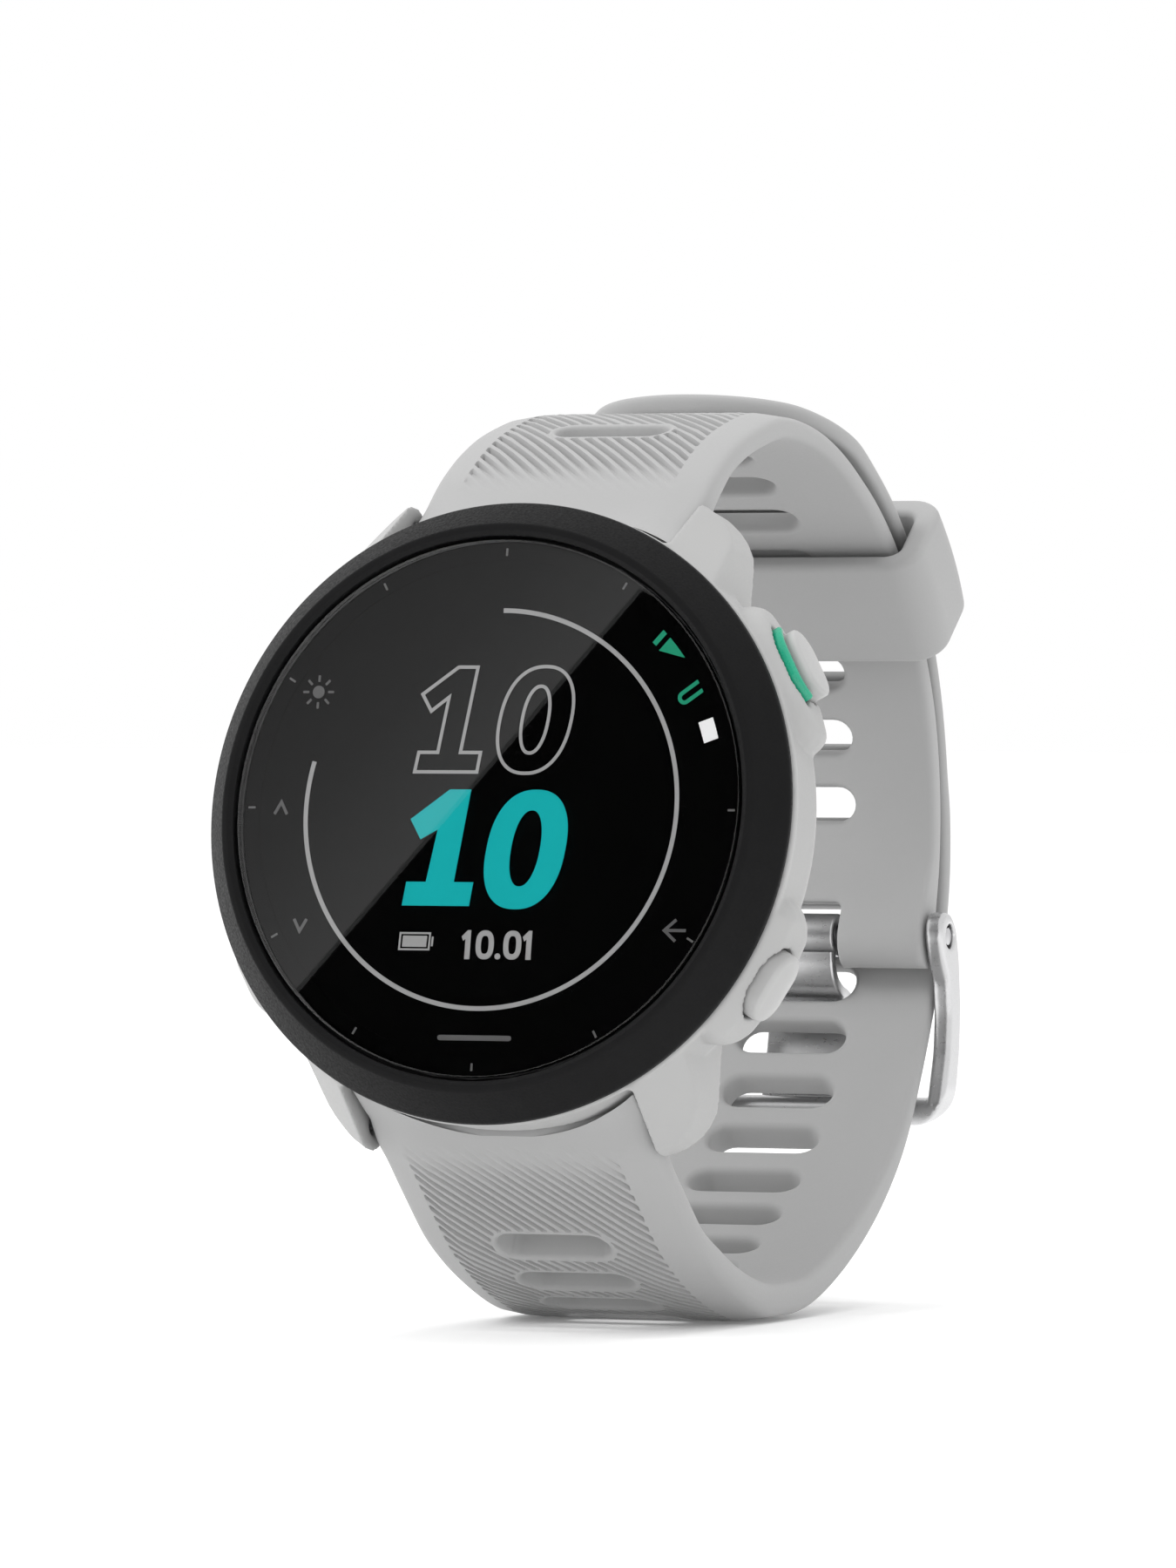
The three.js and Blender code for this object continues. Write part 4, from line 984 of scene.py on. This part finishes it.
# black mask ring that carries the hour marks, between the glass and the display
mask = [(16.4, -0.055), (17.55, -0.055), (17.6, -0.03), (17.6, 0.0), (17.0, 0.03), (16.4, 0.0)]
finish_piece("dial_mask_ring", lathe(mask, 256), "case", "display", sharp=30, matrix=CASE)


def flat_print(loops, y0=0.02, y1=0.06):
    """Printed mark: outline with holes, in (x, z), as a thin closed plate."""
    polys = [[Vector((a, b, 0)) for a, b in lp] for lp in loops]
    flat = [p for lp in polys for p in lp]
    tris = tessellate_polygon(polys)
    n = len(flat)
    verts = [(p.x, y0, p.y) for p in flat] + [(p.x, y1, p.y) for p in flat]
    faces = [tuple(t) for t in tris] + [tuple(i + n for i in reversed(t)) for t in tris]
    base = 0
    for lp in polys:
        m = len(lp)
        faces += [(base + i, base + (i + 1) % m, n + base + (i + 1) % m, n + base + i) for i in range(m)]
        base += m
    me = raw(verts, faces)
    bm = bmesh.new()
    bm.from_mesh(me)
    bmesh.ops.recalc_face_normals(bm, faces=bm.faces)
    bm.to_mesh(me)
    bm.free()
    return me


def stroke(P, w, closed=False):
    """Line of width w along points, as outline loops."""
    P = [Vector(p) for p in P]
    n = len(P)
    L, R = [], []
    for i in range(n):
        a = P[i - 1] if (closed or i > 0) else P[i]
        b = P[(i + 1) % n] if (closed or i < n - 1) else P[i]
        d0 = (P[i] - a).normalized() if (P[i] - a).length > 1e-9 else (b - P[i]).normalized()
        d1 = (b - P[i]).normalized() if (b - P[i]).length > 1e-9 else d0
        n0, n1 = Vector((-d0.y, d0.x)), Vector((-d1.y, d1.x))
        m = (n0 + n1)
        m = m.normalized() if m.length > 1e-6 else n0
        k = min(1.0 / max(m.dot(n0), 0.35), 2.5)
        L.append(tuple(P[i] + m * (w / 2 * k)))
        R.append(tuple(P[i] - m * (w / 2 * k)))
    if closed:
        return [L, R[::-1]]
    return [L + R[::-1]]


def oval(cx, cz, hx, hz, shear, power=2.25, n=72):
    out = []
    for i in range(n):
        t = 2 * math.pi * i / n
        c, s = math.cos(t), math.sin(t)
        x = math.copysign(abs(c) ** (2 / power), c) * hx
        z = math.copysign(abs(s) ** (2 / power), s) * hz
        out.append((cx + x + shear * z, cz + z))
    return out


def disc(cx, cz, r, n=32):
    return [(cx + r * math.cos(2 * math.pi * i / n), cz + r * math.sin(2 * math.pi * i / n)) for i in range(n)]


def put(name, meshes, mat):
    return finish_piece(name, join(meshes), "case", mat, sharp=30, matrix=CASE)


def at(cx, cz, deg, pts):
    """Small sign drawn upright about (0, 0), turned and placed on the dial."""
    c, s = math.cos(deg * RAD), math.sin(deg * RAD)
    return [(cx + x * c - z * s, cz + x * s + z * c) for x, z in pts]


# hour marks on the mask ring
ticks = []
for h in (0, 1, 3, 4, 5, 6, 7, 8, 9, 10, 11):
    a = (90 - 30 * h) * RAD
    u, v = (math.cos(a), math.sin(a)), (-math.sin(a), math.cos(a))
    q = [(u[0] * r + v[0] * w, u[1] * r + v[1] * w) for r, w in ((16.7, -0.07), (17.2, -0.07), (17.2, 0.07), (16.7, 0.07))]
    ticks.append(flat_print([q], -0.085, -0.057))
put("dial_hour_marks", ticks, "print_dim")
# progress ring, open at the upper left
ring = [(13.1 * math.cos((90 - a) * RAD), 13.1 * math.sin((90 - a) * RAD)) for a in np.linspace(0, 283.6, 180)]
put("dial_ring", [flat_print(stroke(ring, 0.30))], "print_grey")
# upper digits, drawn as outlines
one = [(-2.9, 9.36), (-1.54, 9.36), (-2.38, 3.72), (-0.95, 3.72), (-1.12, 2.43), (-5.54, 2.43), (-5.33, 3.72), (-3.99, 3.72), (-3.44, 7.38), (-4.65, 6.45), (-5.34, 7.56)]
digits = [flat_print(stroke(one, 0.22, True)), flat_print(stroke(oval(2.78, 5.88, 2.52, 3.52, 0.145, 2.3), 0.22, True)),
          flat_print(stroke(oval(2.76, 5.90, 0.92, 2.2, 0.12, 2.2), 0.22, True))]
put("dial_digits_upper", digits, "print_grey")
one2 = [(-2.92, 1.28), (-1.42, 1.28), (-2.21, -4.82), (-0.83, -4.82), (-1.02, -6.39), (-5.78, -6.39), (-5.57, -4.82), (-4.19, -4.82), (-3.6, -1.37), (-4.78, -2.02), (-5.58, -0.7)]
put("dial_digits_lower", [flat_print([one2]), flat_print([oval(2.72, -2.64, 2.78, 3.93, 0.13, 2.35), oval(2.7, -2.57, 1.02, 2.5, 0.115, 2.2)[::-1]])], "print_teal")
# battery sign
bat = [flat_print(stroke([(-5.72, -8.2), (-3.62, -8.2), (-3.66, -9.27), (-5.76, -9.27)], 0.12, True)),
       flat_print([[(-5.53, -8.37), (-3.82, -8.37), (-3.85, -9.1), (-5.56, -9.1)]]), flat_print([[(-3.48, -8.42), (-3.36, -8.42), (-3.39, -9.05), (-3.51, -9.05)]])]
put("dial_battery_sign", bat, "print_grey")


# date shown as plain numbers, each digit built from strokes
def digit(ch, x, z, h=1.9, w=0.36):
    b = h * 0.5
    if ch == "0":
        return [stroke(oval(x + b / 2 + 0.12, z + h / 2, b / 2 - 0.02, h / 2 - w / 2, 0.0, 2.6, 40), w, True)]
    if ch == "1":
        return [[[(x + 0.62, z), (x + 0.62, z + h), (x + 0.40, z + h), (x - 0.02, z + h - 0.42), (x + 0.10, z + h - 0.70), (x + 0.26, z + h - 0.56), (x + 0.26, z)]]]
    return []


def numbers(text, x, z):
    out = []
    for ch in text:
        if ch == ".":
            out.append([disc(x + 0.22, z + 0.2, 0.2, 16)])
            x += 0.62
        else:
            out += digit(ch, x, z)
            x += 1.32 if ch == "0" else 1.05
    return out


put("dial_date_numbers", [flat_print(l) for l in numbers("10.01", -1.35, -9.87)], "print_grey")
# signs beside the buttons
tri = at(12.25, 10.6, -41, [(-0.75, -0.85), (0.95, 0.0), (-0.75, 0.85)])
bar = at(11.35, 11.5, -41, [(-0.2, -0.85), (0.15, -0.85), (0.15, 0.85), (-0.2, 0.85)])
u_line = at(13.9, 7.93, 216, [(-1.45, 0.33), (0.95, 0.33)] + [(0.95 + 0.33 * math.sin(t), 0.33 * math.cos(t)) for t in np.linspace(0.3, math.pi - 0.3, 9)] + [(0.95, -0.33), (-1.45, -0.33)])
put("dial_start_sign", [flat_print([tri]), flat_print([bar]), flat_print(stroke(u_line, 0.26))], "print_green")
sq = at(15.15, 5.3, -70, [(-0.72, -0.72), (0.72, -0.72), (0.72, 0.72), (-0.72, 0.72)])
put("dial_stop_sign", [flat_print([sq])], "print_white")
rays = [flat_print([disc(-12.8, 7.7, 0.42, 24)])]
for k in range(8):
    a = k * 45 * RAD
    rays.append(flat_print(stroke([(-12.8 + 0.68 * math.cos(a), 7.7 + 0.68 * math.sin(a)), (-12.8 + 1.1 * math.cos(a), 7.7 + 1.1 * math.sin(a))], 0.16)))
rays.append(flat_print(stroke([(-15.35, -0.42), (-14.9, 0.38), (-14.45, -0.42)], 0.2)))
rays.append(flat_print(stroke([(-13.4, -7.35), (-12.95, -8.15), (-12.5, -7.35)], 0.2)))
rays.append(flat_print(stroke([(13.6, -7.15), (12.8, -7.85), (13.6, -8.55)], 0.2)))
rays.append(flat_print(stroke([(12.85, -7.85), (14.3, -7.85)], 0.2)))
put("dial_side_signs", rays, "print_dim")
put("dial_lower_bar", [flat_print([rounded([(-2.6, -15.2), (2.6, -15.2), (2.6, -14.85), (-2.6, -14.85)], 0.17, 4)])], "print_dim")


# ------------------------------------------------------------------ buttons and the green insert
def cap_mesh(dome, edge, outer):
    """Pill-shaped cap on a round stem, outwards along X."""
    half, r = CAP_L / 2, CAP_W / 2
    rings = [(0.25, CAP_R0), (0.05, CAP_R0 + 0.06), (0.0, CAP_R0 + 0.25)]
    top = outer - dome
    rings.append((0.0, top - edge))
    for t in np.linspace(0, math.pi / 2, 6)[1:]:
        rings.append((edge * (1 - math.cos(t)), top - edge + edge * math.sin(t)))
    for q in (0.25, 0.5, 0.75, 0.93):
        o = edge + (r - edge) * q
        rings.append((o, top + dome * math.sin(q * math.pi / 2)))
    verts, faces = [], []
    K = None
    for o, x in rings:
        pts = pill_outline(half - o, max(r - o, 0.02), 14)
        K = len(pts)
        verts += [(x, a, b) for a, b in pts]
    for i in range(len(rings) - 1):
        for k in range(K):
            l = (k + 1) % K
            faces.append((i * K + k, i * K + l, (i + 1) * K + l, (i + 1) * K + k))
    faces.append(tuple(range(K)))
    faces.append(tuple(range(len(rings) * K - 1, (len(rings) - 1) * K - 1, -1)))
    cap = clean(raw(verts, faces), 1e-3)
    stem = bevelled(cylinder(0.7, 17.6, CAP_R0 + 0.3, "X", 0, 0, 32), 0.08, 2)
    groove = lathe([(0.48, 17.85), (1.2, 17.85), (1.2, 18.15), (0.48, 18.15)], 48)
    groove.transform(Matrix(((0, 1, 0, 0), (1, 0, 0, 0), (0, 0, -1, 0), (0, 0, 0, 1))))
    stem = boolean(stem, [groove])
    return join([cap, stem])


for name, deg, depth in BUTTONS:
    me = cap_mesh(0.05 if name == "start" else 0.22, 0.28 if name == "start" else 0.34, 22.3 if abs(deg) < 90 else 21.85)
    finish_piece("cap_" + name, me, "button_" + name, "button_plastic", ["button_" + name], sharp=42, matrix=btn(deg, depth))

mid = even(np.array(band_points(2.2, 55, 14)), 0.12)
T = np.gradient(mid, axis=0)
T /= np.linalg.norm(T, axis=1)[:, None]
Nn = np.stack([-T[:, 1], T[:, 0]], 1)
sec = rounded([(-0.25, 20.9), (0.25, 20.9), (0.25, 21.69), (-0.25, 21.69)], [0.05, 0.05, 0.22, 0.22], 5)
verts, faces = [], []
K = len(sec)
L = lengths(mid)
for i, (p, nn) in enumerate(zip(mid, Nn)):
    e = min(L[i], L[-1] - L[i])
    f = math.sqrt(max(0.0, 1 - (1 - min(e / 0.25, 1)) ** 2)) * 0.9 + 0.1
    verts += [(x if x < 21.3 else 21.3 + (x - 21.3) * (0.6 + 0.4 * f), p[0] + nn[0] * a * f, p[1] + nn[1] * a * f) for a, x in sec]
for i in range(len(mid) - 1):
    faces += [(i * K + k, i * K + (k + 1) % K, (i + 1) * K + (k + 1) % K, (i + 1) * K + k) for k in range(K)]
faces += [tuple(range(K)), tuple(range(len(mid) * K - 1, (len(mid) - 1) * K - 1, -1))]
finish_piece("accent_insert", clean(raw(verts, faces), 1e-4), "case", "green_accent", ["start_accent"], sharp=45, matrix=btn(BUTTONS[0][1], BUTTONS[0][2]))

# ------------------------------------------------------------------ back of the case
cov = lathe(rounded([(7.25, 8.98), (16.7, 8.98), (16.7, 9.7), (16.4, 9.95), (7.25, 9.95)], [0, 0.05, 0.15, 0.3, 0.12], 4), 224)
SCREWS = [(15.45 * math.cos(d * RAD), 15.45 * math.sin(d * RAD)) for d in (45, 135, 225, 315)]
cuts = []
for x, z in SCREWS:
    cuts += [cylinder(0.8, 8, 11, "Y", x, z, 32), cylinder(1.3, 9.4, 11, "Y", x, z, 40)]
cuts.append(prism(rounded([(-3.9, -12.6), (3.9, -12.6), (3.9, -10.0), (-3.9, -10.0)], 0.5, 5), "Y", 9.6, 11))
for x in (-2.7, -0.9, 0.9, 2.7):
    cuts.append(cylinder(0.62, 8, 11, "Y", x, -11.3, 28))
cov = boolean(cov, cuts)
finish_piece("back_cover_plate", cov, "case", "back_cover", ["back_cover"], sharp=35, matrix=CASE)
win = rounded([(6.95, 8.75), (6.95, 10.1), (6.3, 10.7)], [0, 0.35, 0.35], 5, closed=False)
prof = [(0, 8.3), (8.0, 8.3), (8.1, 8.38), (8.1, 8.7), (8.0, 8.75)] + win[:-1] + [(6.3, 10.7), (3.5, 10.7), (0, 10.7)]
finish_piece("sensor_dome", lathe(prof, 192, closed=False), "case", "sensor_window", ["sensor_window"], sharp=35, matrix=CASE)

# ------------------------------------------------------------------ buckle
armOut = [(52.9, -7.75), (54.3, -7.85), (55.3, -8.9), (55.9, -11.2), (56.2, -14.4), (56.0, -17.4), (55.45, -19.9), (54.75, -21.7), (53.9, -22.6), (52.9, -22.6)]
armIn = [(52.35, -21.6), (52.9, -19.9), (53.7, -17.5), (54.0, -14.8), (53.75, -12.6), (52.75, -11.1), (52.2, -9.6), (52.25, -8.4)]
loop = np.array(armOut + armIn + [armOut[0]])
loop = even(loop, 0.3)[:-1]
for _ in range(3):
    loop = 0.25 * np.roll(loop, 1, 0) + 0.5 * loop + 0.25 * np.roll(loop, -1, 0)
arm_meshes = []
for x0, x1 in ((10.15, 11.45), (-11.45, -10.15)):
    a = bevelled(prism([tuple(p) for p in loop], "X", x0, x1), 0.32, 4, 50)
    arm_meshes.append(boolean(clean(a, 1e-4), [cylinder(0.85, -15, 15, "X", PIN[0], PIN[1], 48)], solver="EXACT"))
fb = bevelled(cylinder(0.98, -11.35, 11.35, "X", FRONT_BAR[0], FRONT_BAR[1], 48), 0.35, 4, 50)
hull = rounded([(-11.45, -7.2), (11.45, -7.2), (11.45, -22.6), (-11.45, -22.6)], [0.5, 0.5, 2.6, 2.6], 8)
bow = join([boolean(m, [prism(hull, "Y", 48, 60)], "INTERSECT") for m in arm_meshes + [fb]])
bow = remesh(bow, 0.11, rounds=9, factor=0.5)
finish_piece("buckle_frame_bow", bow, "buckle", "buckle_steel", ["buckle_frame"], sharp=32)
pin = bevelled(cylinder(0.62, -11.3, 11.3, "X", PIN[0], PIN[1], 40), 0.1, 2, 50)
finish_piece("buckle_cross_bar", pin, "buckle", "small_steel", ["buckle_bar"], sharp=40)

tm = smooth_line([(52.95, -10.6), (53.0, -11.6), (53.5, -12.6), (54.6, -13.35), (55.9, -13.85), (56.75, -14.6), (57.0, -15.7), (56.75, -17.2), (56.2, -19.2), (55.6, -21.2), (55.25, -22.4)], 0.2)
T = np.gradient(tm, axis=0)
T /= np.linalg.norm(T, axis=1)[:, None]
N2 = np.stack([T[:, 1], -T[:, 0]], 1)
sec = rounded([(-3.2, -0.45), (3.2, -0.45), (3.2, 0.45), (-3.2, 0.45)], 0.2, 4)
verts, faces = [], []
K, L = len(sec), lengths(tm)
for i, (p, nn) in enumerate(zip(tm, N2)):
    e = L[-1] - L[i]
    f = 1.0 if e > 1.2 else 0.86 + 0.14 * math.sqrt(max(0, 1 - (1 - e / 1.2) ** 2))
    verts += [(a * f, p[0] + nn[0] * b, p[1] + nn[1] * b) for a, b in sec]
for i in range(len(tm) - 1):
    faces += [(i * K + k, i * K + (k + 1) % K, (i + 1) * K + (k + 1) % K, (i + 1) * K + k) for k in range(K)]
faces += [tuple(range(K)), tuple(range(len(tm) * K - 1, (len(tm) - 1) * K - 1, -1))]
plate = clean(raw(verts, faces), 1e-4)
hub = bevelled(cylinder(1.5, -3.2, 3.2, "X", PIN[0], PIN[1], 64), 0.18, 3, 50)
tongue = boolean(boolean(hub, [plate], "UNION", "EXACT"), [cylinder(0.85, -5, 5, "X", PIN[0], PIN[1], 48)], solver="EXACT")
finish_piece("buckle_tongue_pin", tongue, "buckle_tongue", "buckle_steel", ["buckle_tongue"], sharp=35)

# ------------------------------------------------------------------ CAD nodes that stay
slot_of = {s["node"]: s["material_slot"] for s in frame["record"]["subparts"]}
for n, o in nodes.items():
    if o.hide_render:
        continue
    mt = MAT.get(slot_of.get(n, ""), MAT["inner_plastic"])
    o.data.materials.clear()
    o.data.materials.append(mt)
    if n.startswith(("back_screw", "charge_contact", "upper_bar", "lower_bar", "button_clip")):
        bv = o.modifiers.new("soft_edges", "BEVEL")
        bv.width = 0.05 * MM
        bv.segments = 2
        bv.limit_method = "ANGLE"
        bv.angle_limit = 50 * RAD


# ------------------------------------------------------------------ camera
OFF = Vector((0, -MID_Y, -BOTTOM))
az, el, dist = 22.8 * RAD, 0.68 * RAD, 700.0
back = Vector((math.sin(az) * math.cos(el), -math.cos(az) * math.cos(el), math.sin(el)))
right = Vector((math.cos(az), math.sin(az), 0))
up = back.cross(right)
cam_mm = back * dist - right * -6.38 - up * -1.62 + OFF
cam = bpy.data.objects.new("camera", bpy.data.cameras.new("camera"))
scene.collection.objects.link(cam)
cam.matrix_world = Matrix.Translation(cam_mm * MM) @ Matrix((right, up, back)).transposed().to_4x4()
cam.data.sensor_width = 36
cam.data.sensor_fit = "AUTO"
cam.data.lens = 12367.6 / 1800 * 36
cam.data.clip_start, cam.data.clip_end = 0.01, 50
scene.camera = cam


# ------------------------------------------------------------------ floor, reflection cards, light
def stage_material(name, color, rough=0.9, emit=None):
    m = bpy.data.materials.new(name)
    m.use_nodes = True
    b = m.node_tree.nodes["Principled BSDF"]
    b.inputs["Base Color"].default_value = (*color, 1)
    b.inputs["Roughness"].default_value = rough
    if emit is not None:
        b.inputs["Emission Color"].default_value = (*color, 1)
        b.inputs["Emission Strength"].default_value = emit
    return m


floor = link_mesh("floor", raw([(-4, -4, -0.00005), (4, -4, -0.00005), (4, 4, -0.00005), (-4, 4, -0.00005)], [(0, 1, 2, 3)]))
floor.data.materials.append(stage_material("floor_pale", (0.93, 0.93, 0.93)))
floor_shader = floor.data.materials[0].node_tree.nodes["Principled BSDF"]
floor_shader.inputs["Emission Color"].default_value = (1, 1, 1, 1)
floor_shader.inputs["Emission Strength"].default_value = 0.10

# cards that only mirrors see: a light one and a dark one, meeting along a straight edge
cam_p = cam_mm
nrm = Vector((0, -CT, ST))


def mirror_dir(x, z):
    p = (CASE @ Vector((x, -0.7, z, 1))).to_3d()
    v = (p - cam_p).normalized()
    return p, (v - 2 * v.dot(nrm) * nrm).normalized()


p0, d0 = mirror_dir(0, 0)
plane_p, plane_n = p0 + d0 * 600, d0


def on_card(x, z):
    p, d = mirror_dir(x, z)
    return p + d * ((plane_p - p).dot(plane_n) / d.dot(plane_n))


ea, eb = on_card(9.74, 14.39), on_card(-12.58, -12.13)
along = (ea - eb).normalized()
mid_e = (ea + eb) / 2
lit = on_card(-10, 8)
side = (lit - mid_e)
side = (side - side.dot(along) * along).normalized()
for name, sgn, colr, em, wide in (("card_light", 1, (1, 1, 1), 0.85, 75), ("card_dark", -1, (0.0, 0.0, 0.0), 0.0, 120)):
    rows = [0, 13, 40, wide]
    q = [(mid_e + along * e + side * sgn * w) * MM for w in rows for e in (-110, 110)]
    card = link_mesh(name, raw(q, [(2 * r, 2 * r + 1, 2 * r + 3, 2 * r + 2) for r in range(len(rows) - 1)]))
    card.data.materials.append(stage_material(name, colr, 1.0, em))
    card.data.materials[0].node_tree.nodes["Principled BSDF"].inputs["Specular IOR Level"].default_value = 0.0
    if em:
        tree = card.data.materials[0].node_tree
        tree.nodes["Principled BSDF"].inputs["Base Color"].default_value = (0, 0, 0, 1)
        # the light fades away from the straight edge
        glow = card.data.color_attributes.new("glow", "FLOAT_COLOR", "POINT")
        for k in range(8):
            g = (0.72, 0.5, 0.26, 0.22)[k // 2]
            glow.data[k].color = (g, g, g, 1)
        at_glow = tree.nodes.new("ShaderNodeVertexColor")
        at_glow.layer_name = "glow"
        tree.links.new(at_glow.outputs["Color"], tree.nodes["Principled BSDF"].inputs["Emission Color"])
    card.visible_camera = False
    card.visible_diffuse = False
    card.visible_shadow = False
    card.visible_transmission = False

world = bpy.data.worlds.new("studio")
world.use_nodes = True
world.node_tree.nodes["Background"].inputs["Color"].default_value = (1, 1, 1, 1)
world.node_tree.nodes["Background"].inputs["Strength"].default_value = 1.0
scene.world = world


def area(name, pos, target, size, power, color=(1, 1, 1)):
    l = bpy.data.lights.new(name, "AREA")
    l.shape = "RECTANGLE"
    l.size, l.size_y = size
    l.energy = power
    l.color = color
    o = bpy.data.objects.new(name, l)
    scene.collection.objects.link(o)
    o.location = pos
    o.visible_glossy = False
    o.rotation_euler = (Vector(target) - Vector(pos)).to_track_quat("-Z", "Y").to_euler()
    return o


area("key", (-0.55, -0.65, 0.75), (0, 0, 0.03), (0.45, 0.45), 4.6)
area("top", (0.1, 0.25, 0.9), (0, 0, 0.03), (0.5, 0.4), 2.2)
scene.view_settings.view_transform = "Standard"
scene.view_settings.look = "None"
scene.view_settings.exposure = 0.0
scene.cycles.max_bounces = 8
